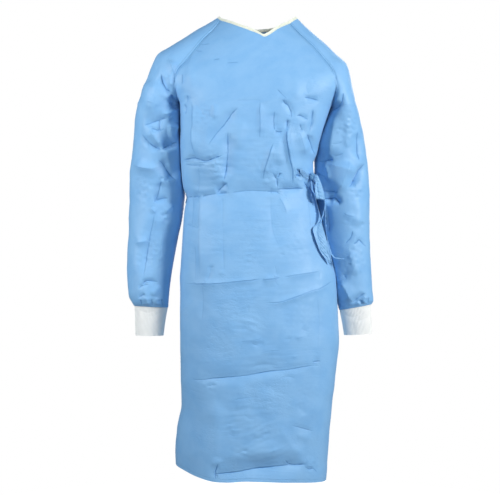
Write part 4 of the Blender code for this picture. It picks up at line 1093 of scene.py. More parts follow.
frontPanel = {
    "rows": (76, 272),
    "columns": 130,
    "deepen": Table(
        "down by",
        (0, 0.9), (190, 0.9), (240, 2.5), (450, 2.5), (500, 1.15), (1090, 0.9), (1140, 1.4), (1200, 1.4),
    ),
    "sunkLess": 0.8,
    "sunkFrom": 7.0,
    "sunkTo": 9.5,
}
frontCreases = [
    # Yoke, on the wearer's right: the first fold under the raglan seam, and what hangs from it
    ("ridge", 2.6, 14, 12, 0, (-168, 95), (-172, 130), (-170, 190)),
    ("trough", 2.2, 9, 8, 0.5, (-191, 150), (-193, 178)),
    ("trough", 0.9, 6, 6, 0.5, (-150, 71), (-136, 73), (-120, 71)),
    ("trough", 0.8, 5, 6, 0.5, (-156, 89), (-140, 91)),
    ("trough", 0.8, 6, 6, 0.5, (-110, 113), (-95, 110)),
    ("trough", 0.8, 6, 7, 0.5, (-75, 121), (-45, 119)),
    # Yoke, on the wearer's left
    ("ridge", 1.3, 12, 13, 0, (106, 150), (104, 185), (108, 220)),
    ("trough", 1.8, 16, 13, 0.1, (136, 162), (132, 186), (138, 204)),
    ("trough", 1.8, 8, 9, 0.5, (125, 210), (145, 214), (165, 220)),
    ("trough", 0.9, 6, 5, 0.5, (55, 190), (65, 200), (80, 215)),
    ("ridge", 1.0, 8, 8, 0, (62, 208), (80, 220)),
    # Chest, on the wearer's right
    ("valley", 3.4, 14, 13, 0.7, (-45, 235), (-62, 252), (-85, 283), (-100, 300), (-115, 320), (-125, 337)),
    ("valley", 4.2, 11, 17, 0.7, (-74, 297), (-74, 350), (-76, 375), (-79, 400), (-82, 420), (-85, 433)),
    ("valley", 3.4, 9, 10, 0.7, (-74, 433), (-85, 441), (-95, 450), (-105, 461)),
    ("trough", 1.6, 6, 6, 0.5, (-105, 463), (-90, 460), (-75, 457)),
    ("valley", 1.9, 12, 11, 0.55, (-182, 471), (-166, 469), (-145, 469), (-125, 465), (-104, 462),
     (-86, 460), (-66, 459)),
    ("trough", 2.8, 7, 9, 0.9, (-192, 374), (-175, 371), (-165, 369), (-150, 372), (-135, 377),
     (-128, 376), (-115, 371), (-100, 366), (-86, 361)),
    ("trough", 1.0, 6, 6, 0.5, (-185, 385), (-160, 388), (-130, 387)),
    ("trough", 1.8, 5, 5, 0.5, (-185, 228), (-183, 253)),
    ("crest", 2.8, 8, 13, 0.45, (-168, 220), (-162, 245), (-162, 280), (-165, 300), (-163, 330),
     (-158, 362)),
    ("trough", 1.3, 5, 5, 0.5, (-178, 205), (-179, 225)),
    ("valley", 1.6, 12, 26, 0.2, (-152, 388), (-149, 420), (-151, 460)),
    ("ridge", 1.4, 8, 9, 0, (-108, 225), (-107, 270)),
    ("valley", 1.8, 13, 15, 0.45, (-66, 459), (-45, 456), (-20, 453), (15, 454), (40, 455), (58, 458)),
    ("trough", 0.7, 6, 6, 0.2, (-52, 219), (-15, 217), (16, 218)),
    ("ridge", 1.5, 16, 12, 0, (-30, 262), (-42, 310), (-40, 352)),
    ("ridge", 1.6, 14, 12, 0, (-118, 352), (-104, 392), (-112, 436)),
    # Chest, on the wearer's left
    ("crest", 2.0, 7, 10, 0.5, (12, 218), (11, 250), (12, 285), (10, 318)),
    ("valley", 2.4, 13, 17, 0.7, (48, 246), (46, 275), (49, 300)),
    ("valley", 1.5, 7, 8, 0.7, (48, 296), (58, 301), (68, 300)),
    ("valley", 2.0, 8, 9, 0.7, (68, 215), (75, 225), (83, 230), (88, 240), (92, 250), (92, 265)),
    ("trough", 2.4, 6, 6, 0.5, (82, 266), (82, 282), (80, 298)),
    ("crest", 3.6, 6, 17, 0.9, (82, 270), (88, 275), (85, 290), (80, 305), (80, 325), (84, 350),
     (88, 375), (94, 398), (98, 440)),
    ("crest", 2.8, 10, 15, 0.75, (47, 328), (40, 345), (34, 365), (27, 385), (22, 405), (18, 427)),
    ("ridge", 0.5, 6, 6, 0, (20, 424), (31, 437)),
    ("trough", 2.0, 5, 5, 0.5, (43, 406), (50, 418), (55, 426), (56, 449)),
    ("trough", 1.8, 4, 5, 0.5, (64, 406), (56, 422)),
    ("valley", 2.4, 5, 5, 0.9, (104, 396), (110, 401), (117, 404), (124, 408)),
    ("valley", 2.0, 5, 5, 0.8, (102, 412), (109, 413), (117, 416)),
    ("valley", 2.6, 6, 8, 0.9, (124, 430), (131, 436), (138, 444), (146, 449), (150, 464)),
    ("valley", 2.8, 12, 11, 0.7, (53, 450), (70, 449), (85, 449), (105, 448), (126, 447)),
    ("trough", 1.3, 6, 6, 0.5, (28, 455), (53, 456), (62, 463)),
    ("trough", 1.4, 5, 5, 0.5, (105, 259), (115, 258), (125, 263), (136, 269)),
    ("trough", 1.4, 5, 5, 0.5, (114, 280), (121, 301)),
    ("trough", 1.8, 5, 5, 0.5, (148, 240), (147, 275), (142, 290), (140, 303)),
    ("valley", 2.6, 9, 8, 0.7, (131, 305), (138, 315), (145, 328), (150, 345), (153, 362)),
    ("crest", 2.8, 15, 16, 0.2, (112, 298), (121, 330), (129, 362)),
    ("ridge", 1.8, 12, 12, 0, (62, 315), (58, 352), (66, 392)),
    # Skirt, upper part
    ("crest", 3.8, 18, 21, 0.2, (-145, 470), (-145, 520), (-146, 580), (-145, 630), (-147, 682)),
    ("valley", 2.2, 12, 9, 0.25, (-165, 468), (-164, 505), (-166, 546)),
    ("valley", 1.8, 8, 9, 0.25, (-180, 540), (-165, 547), (-146, 551)),
    ("crest", 1.6, 8, 8, 0.2, (-152, 482), (-138, 465)),
    ("valley", 1.8, 9, 9, 0.2, (-157, 596), (-157, 640), (-158, 692)),
    ("trough", 0.9, 5, 5, 0.15, (-87, 468), (-86, 510), (-87, 552)),
    ("trough", 0.9, 5, 5, 0.15, (-84, 550), (-85, 605), (-83, 662)),
    ("trough", 1.9, 6, 6, 0.12, (-127, 649), (-118, 660), (-122, 675), (-129, 692)),
    ("trough", 1.3, 5, 5, 0.12, (-124, 651), (-108, 652)),
    ("ridge", 1.5, 5, 5, 0, (-94, 672), (-84, 661)),
    ("valley", 3.2, 15, 24, 0.12, (38, 463), (40, 520), (45, 560), (61, 602)),
    ("crest", 1.7, 8, 8, 0.2, (60, 468), (72, 490), (81, 514)),
    ("trough", 1.2, 5, 5, 0.12, (62, 617), (74, 619)),
    ("crest", 1.8, 10, 12, 0.2, (136, 463), (138, 500), (143, 552)),
    ("crest", 3.2, 12, 8, 0.55, (-186, 694), (-150, 695), (-100, 694), (-50, 689), (-20, 686), (17, 681)),
    ("crest", 3.0, 12, 8, 0.5, (14, 685), (40, 682), (62, 678)),
    ("crest", 3.0, 12, 8, 0.4, (72, 677), (100, 672), (130, 668), (166, 662)),
    ("trough", 1.0, 4, 4, 0.12, (49, 648), (56, 677)),
    ("trough", 1.0, 4, 4, 0.12, (47, 686), (58, 701)),
    ("trough", 1.0, 4, 4, 0.12, (166, 658), (165, 686)),
    ("ridge", 1.4, 18, 16, 0, (-112, 520), (-108, 570), (-116, 640)),
    ("ridge", 1.6, 22, 20, 0, (5, 480), (-8, 540), (0, 600)),
    ("ridge", 1.8, 18, 22, 0, (112, 480), (118, 540), (128, 610)),
    # Skirt, middle
    ("crest", 2.8, 9, 9, 0.5, (203, 687), (190, 695), (168, 709), (150, 714), (130, 721), (110, 729),
     (90, 736), (62, 745), (22, 747)),
    ("valley", 1.6, 9, 13, 0.2, (-139, 700), (-138, 745), (-141, 792)),
    ("trough", 0.8, 7, 7, 0.12, (-112, 750), (-85, 748), (-58, 750)),
    ("ridge", 1.1, 6, 7, 0, (-46, 786), (-22, 795), (2, 799)),
    ("ridge", 1.2, 6, 6, 0, (-22, 808), (2, 823)),
    ("trough", 1.2, 7, 7, 0.12, (-62, 811), (-40, 813), (-18, 812)),
    ("crest", 1.5, 9, 7, 0.2, (-42, 846), (-20, 843), (0, 840), (17, 836)),
    ("trough", 1.6, 9, 9, 0.12, (118, 813), (137, 820)),
    ("crest", 1.6, 8, 8, 0.2, (103, 838), (125, 832)),
    ("trough", 1.2, 6, 6, 0.12, (73, 840), (92, 837)),
    ("crest", 1.0, 7, 7, 0.2, (8, 876), (35, 869), (62, 868)),
    ("trough", 0.9, 6, 6, 0.12, (-12, 850), (6, 856), (22, 848)),
    ("ridge", 2.0, 26, 24, 0, (-60, 700), (-70, 770), (-62, 850), (-72, 905)),
    ("ridge", 2.0, 26, 22, 0, (66, 752), (60, 810), (72, 880)),
    ("trough", 1.8, 18, 16, 0.12, (158, 725), (166, 790), (160, 870)),
    ("ridge", 1.8, 15, 16, 0, (-165, 720), (-168, 800), (-162, 880)),
    # The strong crease round the knees
    ("valley", 5.2, 12, 26, 0.6, (-180, 943), (-145, 945), (-112, 942), (-75, 939), (-25, 934),
     (20, 926), (50, 922), (85, 919), (130, 911), (158, 907)),
    ("trough", 1.6, 9, 9, 0.12, (-18, 915), (15, 905), (62, 908)),
    ("trough", 1.8, 5, 5, 0.12, (-129, 962), (-115, 960), (-102, 957)),
    ("valley", 1.8, 6, 6, 0.7, (148, 899), (167, 896)),
    ("trough", 1.4, 4, 4, 0.12, (148, 911), (162, 908)),
    ("crest", 1.4, 5, 5, 0.2, (94, 887), (108, 884)),
    ("trough", 1.6, 7, 6, 0.12, (68, 941), (85, 937), (102, 940)),
    # Lower skirt and hem
    ("trough", 1.1, 5, 6, 0.3, (-57, 997), (-25, 992), (7, 990)),
    ("ridge", 3.2, 26, 18, 0, (-106, 985), (-102, 1040), (-104, 1100), (-100, 1150)),
    ("ridge", 1.1, 5, 5, 0, (-75, 1060), (-60, 1072), (-46, 1066)),
    ("trough", 1.1, 5, 5, 0.1, (-72, 1085), (-58, 1092), (-45, 1088)),
    ("trough", 1.0, 5, 5, 0.1, (-32, 1034), (-15, 1047), (2, 1045)),
    ("crest", 1.3, 8, 7, 0, (-37, 1099), (-15, 1090), (7, 1073)),
    ("trough", 1.0, 6, 6, 0.1, (-52, 1137), (-35, 1131), (-18, 1126)),
    ("trough", 1.8, 6, 5, 0.8, (-99, 1164), (-103, 1174), (-107, 1188), (-105, 1204)),
    ("ridge", 1.2, 9, 9, 0, (-112, 1145), (-105, 1160), (-112, 1180)),
    ("ridge", 1.0, 6, 6, 0, (-120, 1164), (-100, 1160), (-84, 1152)),
    ("valley", 7.5, 26, 30, 0.9, (-118, 1193), (-100, 1190), (-75, 1188), (-50, 1186), (-25, 1181),
     (0, 1177), (25, 1175), (50, 1172), (80, 1168), (105, 1167), (136, 1165)),
    ("ridge", 3.0, 20, 22, 0, (-96, 1148), (-50, 1140), (0, 1133), (50, 1128), (104, 1126)),
    ("valley", 1.7, 8, 10, 0.8, (76, 1154), (88, 1165), (108, 1167), (130, 1163)),
    ("trough", 2.0, 9, 9, 0.3, (93, 1064), (115, 1070), (130, 1074), (150, 1079)),
    ("ridge", 1.5, 9, 9, 0, (103, 1088), (125, 1094), (147, 1101)),
    ("crest", 3.4, 24, 16, 0, (62, 1066), (80, 1100), (100, 1125), (128, 1143)),
    ("crest", 1.6, 10, 8, 0.2, (128, 1146), (138, 1160), (150, 1172)),
    ("trough", 0.8, 5, 5, 0.4, (126, 1170), (138, 1178), (150, 1176), (158, 1186)),
    ("crest", 1.5, 9, 9, 0, (-12, 1097), (15, 1076), (27, 1058)),
    ("ridge", 1.2, 7, 7, 0, (18, 1148), (38, 1136), (62, 1120)),
    ("trough", 1.8, 12, 12, 0, (104, 1008), (118, 1022), (132, 1037)),
    ("ridge", 2.0, 20, 18, 0, (40, 962), (30, 1010), (44, 1050)),
    ("ridge", 1.8, 16, 18, 0, (150, 935), (156, 990), (150, 1050)),
    ("trough", 1.8, 16, 14, 0, (-160, 975), (-168, 1040), (-172, 1110)),
    ("ridge", 1.6, 14, 14, 0, (-45, 950), (-36, 985), (-50, 1030)),
]
frontPatches = [
    (-105, 372, 24, 24, 0.8),
    (-105, 580, 16, 26, 0.9),
    (-105, 606, 22, 12, 1.0),
    (-18, 625, 32, 26, 0.9),
    (-55, 777, 17, 14, 1.5),
    (4, 849, 20, 14, 0.9),
    (-127, 948, 22, 22, 1.0),
    (-120, 973, 14, 15, 0.8),
    (148, 1167, 26, 26, 1.1),
    (20, 1085, 28, 28, 1.0),
    (-60, 1078, 20, 24, 0.9),
    (-30, 1130, 24, 14, 0.4),
    (112, 420, 12, 16, 1.2),
    (-135, 250, 30, 40, 0.7),
    (30, 140, 60, 50, 0.5),
    (-80, 160, 50, 50, 0.5),
    (20, 390, 30, 30, 0.7),
    (-20, 530, 60, 50, 0.5),
    (110, 580, 50, 60, 0.6),
    (-80, 850, 60, 60, 0.6),
    (120, 780, 60, 60, 0.6),
    (0, 1010, 70, 30, 0.6),
    (120, 985, 40, 40, 0.7),
]
frontRipples = [
    (8, 1086, 52, 40, 0.42, 16, -0.30),
    (-58, 1076, 26, 30, 0.42, 15, 0.05),
    (-15, 626, 36, 28, 0.34, 15, -0.05),
    (-104, 606, 24, 16, 0.40, 14, 0.0),
    (-18, 800, 34, 30, 0.42, 16, 0.35),
    (34, 872, 34, 16, 0.45, 15, 0.0),
    (4, 850, 24, 16, 0.40, 14, -0.10),
    (44, 1134, 30, 22, 0.45, 15, -0.40),
    (-34, 1132, 26, 18, 0.40, 15, 0.30),
    (0, 1015, 90, 40, 0.26, 19, 0.04),
    (-10, 540, 100, 60, 0.18, 21, 0.0),
    (60, 590, 60, 60, 0.18, 20, -0.06),
    (20, 720, 110, 40, 0.20, 20, -0.08),
    (0, 900, 120, 30, 0.22, 18, -0.06),
    (-100, 400, 40, 46, 0.22, 17, 0.1),
    (-20, 330, 60, 70, 0.14, 22, 0.0),
]


def makeFront():
    _, station, points = bodyGrid("front", -1.0, 1.0, frontPanel["rows"], frontPanel["columns"])
    points = softened(points, forward)
    normals = outward(points, forward)
    _, below = gridLengths(points)
    distance, along = fromSeam(points, [points[:, 0], points[:, -1]])
    lift, offset, dark = creased(points, normals, frontCreases, frontPatches, -1.0, frontRipples)
    x, down = points[..., 0], -points[..., 2]
    lift = lift * frontPanel["deepen"].at("by", down)
    lift = lift + crumpleLift("front", x, down, 1.0) * calmed("body", down)
    sunk = 1 - frontPanel["sunkLess"] * ramp(frontPanel["sunkFrom"], frontPanel["sunkTo"], station)
    made = sewn(points, normals, lift, distance, along, below, sunk)
    made[:, 0], made[:, -1] = points[:, 0], points[:, -1]
    distance = unstitched(distance, station)
    piece = sheetPiece("front", made, forward, "panel", seam=(distance, along), fold=(offset, dark / mm))
    placed(piece, "front_panel", cutSize(made))
    return points


# Back panels

backPanel = {"rows": (56, 194), "columns": 66, "beltRoom": 0.3, "beltHalf": 22.0, "lapCalm": 0.12}
backCreases = [
    # Under the arms and over the shoulder blades
    ("crest", 2.6, 10, 14, 0.2, (-162, 225), (-156, 262), (-157, 305), (-150, 358)),
    ("trough", 1.5, 6, 6, 0.5, (-181, 232), (-178, 262), (-180, 290)),
    ("valley", 3.2, 14, 12, 0.7, (-92, 246), (-108, 276), (-122, 312), (-130, 348)),
    ("valley", 3.0, 12, 15, 0.7, (-84, 300), (-80, 345), (-84, 385), (-90, 440)),
    ("trough", 1.4, 7, 8, 0.5, (-140, 150), (-112, 160), (-84, 158)),
    ("trough", 1.2, 7, 7, 0.5, (-104, 112), (-90, 124), (-80, 142)),
    ("crest", 2.8, 14, 10, 0.2, (158, 222), (152, 264), (147, 300), (138, 352)),
    ("valley", 3.0, 12, 14, 0.7, (96, 240), (104, 282), (118, 318), (126, 352)),
    ("valley", 2.6, 11, 12, 0.7, (82, 282), (88, 330), (84, 372), (76, 404)),
    ("trough", 1.5, 8, 7, 0.5, (86, 172), (112, 168), (140, 158)),
    ("ridge", 1.5, 18, 16, 0, (-112, 182), (-106, 220), (-112, 262)),
    ("ridge", 1.5, 17, 16, 0, (112, 186), (106, 222), (110, 252)),
    # Round the belt
    ("trough", 2.4, 8, 10, 0.5, (-176, 436), (-150, 442), (-126, 438), (-96, 430)),
    ("trough", 2.0, 8, 9, 0.5, (92, 396), (116, 402), (140, 397)),
    ("valley", 2.4, 12, 10, 0.6, (-172, 508), (-140, 504), (-104, 497), (-74, 492)),
    ("valley", 2.2, 11, 10, 0.6, (70, 462), (100, 463), (134, 457)),
    ("crest", 1.8, 8, 9, 0.2, (-146, 494), (-130, 520), (-126, 556)),
    ("crest", 1.8, 9, 8, 0.2, (108, 462), (100, 490), (94, 528)),
    # Skirt
    ("crest", 3.2, 19, 18, 0.2, (-134, 520), (-131, 580), (-134, 640), (-130, 690)),
    ("crest", 3.0, 18, 20, 0.2, (124, 480), (130, 540), (128, 610), (133, 676)),
    ("valley", 2.0, 12, 10, 0.6, (-92, 520), (-88, 570), (-90, 640)),
    ("valley", 2.0, 10, 13, 0.6, (84, 500), (80, 560), (86, 628)),
    ("crest", 2.0, 10, 8, 0.2, (-190, 702), (-158, 699), (-120, 695), (-84, 692), (-62, 690)),
    ("crest", 2.0, 10, 8, 0.2, (60, 684), (92, 679), (130, 672), (170, 668), (204, 666)),
    ("crest", 1.7, 8, 9, 0.2, (58, 752), (92, 744), (134, 728), (180, 706)),
    ("valley", 1.8, 10, 12, 0.6, (-128, 706), (-124, 752), (-128, 800)),
    ("ridge", 2.0, 24, 24, 0, (-96, 716), (-104, 784), (-94, 860), (-100, 906)),
    ("ridge", 2.0, 24, 24, 0, (100, 762), (94, 820), (104, 888)),
    ("trough", 1.4, 8, 8, 0.5, (-170, 822), (-148, 830), (-118, 826)),
    ("trough", 1.4, 8, 7, 0.5, (112, 838), (138, 832), (166, 836)),
    ("valley", 3.2, 11, 22, 0.7, (-190, 950), (-152, 947), (-116, 942), (-84, 940), (-58, 937)),
    ("valley", 3.2, 11, 22, 0.7, (58, 926), (90, 922), (124, 916), (160, 912), (196, 904)),
    ("trough", 1.6, 6, 6, 0.5, (-142, 964), (-124, 968), (-104, 962)),
    ("trough", 1.5, 6, 6, 0.5, (92, 944), (110, 940), (132, 934)),
    ("ridge", 2.6, 24, 20, 0, (-120, 980), (-126, 1040), (-118, 1110), (-122, 1150)),
    ("ridge", 2.4, 20, 24, 0, (118, 960), (124, 1020), (116, 1090), (120, 1150)),
    ("crest", 2.2, 14, 12, 0.2, (-170, 1060), (-140, 1082), (-104, 1094), (-72, 1092)),
    ("crest", 2.0, 12, 13, 0.2, (72, 1086), (104, 1080), (136, 1062), (166, 1048)),
    ("valley", 3.6, 28, 20, 0.6, (-186, 1140), (-146, 1152), (-104, 1160), (-66, 1158)),
    ("valley", 3.6, 28, 20, 0.6, (66, 1160), (104, 1164), (142, 1170), (172, 1166)),
    ("trough", 1.6, 5, 5, 0.5, (-120, 1164), (-116, 1184), (-120, 1198)),
    ("trough", 1.6, 5, 5, 0.5, (134, 1172), (130, 1188), (134, 1202)),
]
backPatches = [
    (-112, 398, 26, 24, 1.4),
    (104, 366, 24, 24, 1.3),
    (-118, 602, 22, 28, 0.9),
    (110, 590, 24, 30, 0.9),
    (-120, 790, 30, 26, 1.0),
    (118, 800, 30, 28, 1.0),
    (-132, 956, 24, 22, 1.6),
    (122, 950, 24, 20, 1.5),
    (-100, 1080, 34, 34, 0.9),
    (106, 1110, 34, 34, 1.0),
    (-120, 200, 30, 40, 0.6),
    (118, 200, 30, 40, 0.6),
]
backRipples = [
    (-110, 1020, 60, 60, 0.30, 18, 0.10),
    (112, 1040, 60, 60, 0.30, 18, -0.12),
    (-110, 620, 50, 50, 0.24, 18, 0.0),
    (112, 640, 50, 50, 0.24, 18, 0.05),
    (-110, 860, 60, 50, 0.24, 19, 0.05),
    (112, 860, 60, 50, 0.24, 19, -0.05),
    (-120, 400, 40, 50, 0.22, 18, 0.0),
    (112, 380, 40, 50, 0.22, 18, 0.0),
]


def beltMiddle(x):
    # How far down the belt's middle lies at a place across the back.
    share = np.clip((x - belt["start"]) / belt["reach"], 0.0, 1.0)
    return beltDown["right"] + (beltDown["left"] - beltDown["right"]) * share


def makeBack(node, name, over):
    start, end = (-cut["lap"], 1.0) if over else (-1.0, cut["lap"])
    across, _, points = bodyGrid("back", start, end, backPanel["rows"], backPanel["columns"])
    points = softened(points, backward)
    normals = outward(points, backward)
    _, below = gridLengths(points)
    seam = -1 if over else 0
    distance, along = fromSeam(points, [points[:, seam]])
    lift, offset, dark = creased(points, normals, backCreases, backPatches, 1.0, backRipples)
    x, down = points[..., 0], -points[..., 2]
    lift = lift + crumpleLift("back", x, down, 2.0) * calmed("body", down)
    nearBelt = np.abs(down - beltMiddle(x)) < backPanel["beltHalf"]
    lift = np.where(nearBelt, np.minimum(lift, backPanel["beltRoom"]), lift)
    lift = lift * ramp(cut["lap"], cut["lap"] + backPanel["lapCalm"], np.abs(across))
    made = sewn(points, normals, lift, distance, along, below)
    made = made + normals * lapShift(across, over)[..., None]
    made[:, seam] = points[:, seam]
    piece = sheetPiece(name, made, backward, "panel", seam=(distance, along), fold=(offset, dark / mm))
    placed(piece, node, cutSize(made))
    return points


# Sleeves

sleevePiece = {"rows": (60, 190), "columns": 112, "deepen": {"right": 2.0, "left": 2.3}, "cuffCalm": 0.6}
sleeveCreases = {
    "right": [
        ("crest", 3.2, 10, 9, 0.2, (-228, 105), (-220, 125), (-212, 150), (-206, 178)),
        ("valley", 5.5, 10, 10, 0.7, (-246, 148), (-246, 165), (-240, 178), (-232, 190), (-222, 196),
         (-208, 200)),
        ("trough", 8.0, 14, 11, 0.3, (-219, 200), (-213, 216), (-207, 232), (-202, 248)),
        ("ridge", 3.0, 6, 6, 0, (-224, 150), (-221, 165), (-217, 185)),
        ("ridge", 3.0, 15, 30, 0, (-272, 158), (-281, 205), (-272, 252)),
        ("crest", 3.6, 9, 8, 0.2, (-242, 256), (-225, 250), (-213, 242), (-203, 235)),
        ("valley", 5.2, 13, 17, 0.7, (-292, 284), (-275, 278), (-262, 274), (-248, 270), (-228, 263)),
        ("trough", 2.2, 5, 5, 0.5, (-248, 270), (-250, 299)),
        ("trough", 1.6, 5, 5, 0.5, (-274, 291), (-250, 297), (-238, 291)),
        ("crest", 5.4, 21, 13, 0.2, (-276, 293), (-262, 318), (-249, 342)),
        ("valley", 4.4, 8, 18, 0.7, (-297, 306), (-288, 320), (-273, 334), (-258, 343), (-243, 346)),
        ("crest", 4.6, 26, 7, 0.2, (-234, 288), (-218, 286), (-200, 287)),
        ("valley", 6.4, 8, 26, 0.7, (-245, 346), (-230, 339), (-215, 333), (-203, 325)),
        ("crest", 7.0, 44, 9, 0.2, (-250, 355), (-230, 348), (-213, 341), (-200, 334)),
        ("valley", 4.6, 14, 32, 0.7, (-254, 373), (-240, 385), (-230, 400), (-220, 412), (-206, 428)),
        ("crest", 4.0, 16, 14, 0.2, (-322, 384), (-300, 391), (-280, 395), (-262, 394), (-250, 387)),
        ("valley", 3.8, 10, 18, 0.7, (-246, 426), (-250, 445), (-253, 460), (-259, 473), (-267, 487)),
        ("valley", 3.6, 10, 10, 0.7, (-266, 479), (-250, 476), (-240, 474), (-226, 473)),
        ("crest", 2.0, 6, 8, 0.2, (-274, 495), (-268, 505), (-260, 511)),
        ("crest", 2.4, 9, 8, 0.2, (-234, 514), (-228, 500), (-213, 492)),
        ("valley", 4.2, 18, 30, 0.7, (-264, 512), (-270, 545), (-275, 565), (-279, 590), (-285, 620),
         (-293, 682)),
        ("crest", 2.2, 9, 11, 0.2, (-314, 591), (-298, 587), (-280, 585)),
        ("crest", 2.6, 16, 14, 0.2, (-238, 545), (-246, 600), (-252, 660)),
        ("trough", 2.8, 7, 7, 0.5, (-300, 698), (-290, 690), (-280, 688), (-253, 690)),
        ("trough", 2.0, 6, 6, 0.5, (-307, 709), (-295, 700), (-278, 697)),
        ("trough", 1.8, 6, 6, 0.5, (-307, 733), (-288, 721)),
        ("ridge", 1.8, 8, 8, 0, (-274, 727), (-260, 712), (-248, 699)),
        ("ridge", 1.2, 6, 6, 0, (-290, 728), (-283, 740), (-279, 751)),
        ("ridge", 1.2, 6, 6, 0, (-262, 730), (-259, 742), (-256, 752)),
        ("trough", 1.2, 5, 5, 0.5, (-272, 735), (-270, 752)),
        ("trough", 1.1, 5, 5, 0.5, (-300, 736), (-297, 750)),
        ("trough", 1.1, 5, 5, 0.5, (-246, 734), (-243, 752)),
    ],
    "left": [
        ("ridge", 2.0, 9, 9, 0, (213, 182), (210, 205), (206, 228)),
        ("valley", 2.0, 9, 9, 0.6, (228, 198), (224, 215), (218, 230), (208, 238), (196, 247)),
        ("crest", 4.2, 26, 17, 0.1, (207, 250), (203, 290), (197, 330), (190, 374)),
        ("trough", 0.6, 5, 5, 0.3, (198, 330), (210, 332), (224, 326)),
        ("trough", 0.6, 5, 5, 0.3, (198, 361), (212, 362), (227, 356)),
        ("ridge", 2.2, 10, 12, 0, (236, 262), (240, 300), (236, 345)),
        ("valley", 3.4, 15, 9, 0.7, (264, 298), (267, 335), (268, 376)),
        ("trough", 5.4, 9, 9, 0.5, (283, 380), (277, 395), (270, 410), (262, 422), (255, 433),
         (247, 440), (238, 446)),
        ("crest", 8.0, 44, 14, 0.1, (243, 372), (238, 395), (230, 415), (225, 435), (215, 450), (206, 460)),
        ("crest", 2.2, 6, 6, 0.2, (176, 378), (185, 392), (190, 410), (192, 425), (199, 435)),
        ("valley", 2.8, 8, 8, 0.7, (163, 378), (180, 376), (203, 371)),
        ("valley", 2.8, 9, 9, 0.7, (176, 455), (192, 455), (213, 457)),
        ("valley", 6.0, 13, 9, 0.7, (174, 475), (190, 474), (200, 472), (208, 475), (215, 483), (218, 494)),
        ("trough", 3.2, 10, 10, 0.5, (184, 488), (186, 525), (190, 565)),
        ("crest", 1.4, 7, 6, 0.3, (228, 511), (240, 517), (255, 520)),
        ("trough", 1.2, 6, 6, 0.6, (251, 557), (247, 575), (231, 592)),
        ("trough", 1.2, 5, 5, 0.7, (253, 593), (262, 588), (268, 582), (275, 587), (287, 600)),
        ("ridge", 2.4, 14, 14, 0, (262, 470), (266, 510), (262, 552)),
        ("ridge", 2.4, 14, 12, 0, (246, 605), (254, 640), (262, 680)),
        ("trough", 1.0, 9, 9, 0.2, (226, 668), (234, 682)),
        ("crest", 5.0, 24, 13, 0.2, (217, 685), (228, 700), (238, 718), (245, 732), (251, 744)),
        ("trough", 2.6, 8, 8, 0.4, (248, 747), (262, 736), (272, 728), (285, 719)),
        ("ridge", 1.2, 6, 6, 0, (284, 726), (282, 738), (281, 750)),
        ("ridge", 1.1, 6, 6, 0, (266, 742), (265, 754)),
        ("trough", 1.1, 5, 5, 0.4, (293, 730), (291, 748)),
        ("trough", 1.1, 5, 5, 0.4, (274, 738), (273, 752)),
    ],
}
sleevePatches = {
    "right": [
        (-222, 262, 9, 9, 2.0),
        (-236, 422, 14, 12, 2.0),
        (-238, 522, 13, 15, 1.9),
        (-272, 742, 24, 10, 0.8),
        (-296, 630, 16, 22, 0.9),
        (-262, 620, 26, 50, 0.8),
        (-285, 450, 24, 30, 0.9),
        (-262, 205, 26, 40, 0.7),
    ],
    "left": [
        (216, 295, 9, 9, 1.0),
        (277, 542, 12, 14, 0.8),
        (242, 537, 12, 14, 0.7),
        (250, 660, 14, 12, 0.6),
        (276, 742, 18, 10, 0.9),
        (262, 450, 22, 40, 0.8),
        (240, 300, 24, 44, 0.7),
        (255, 630, 30, 40, 0.8),
    ],
}
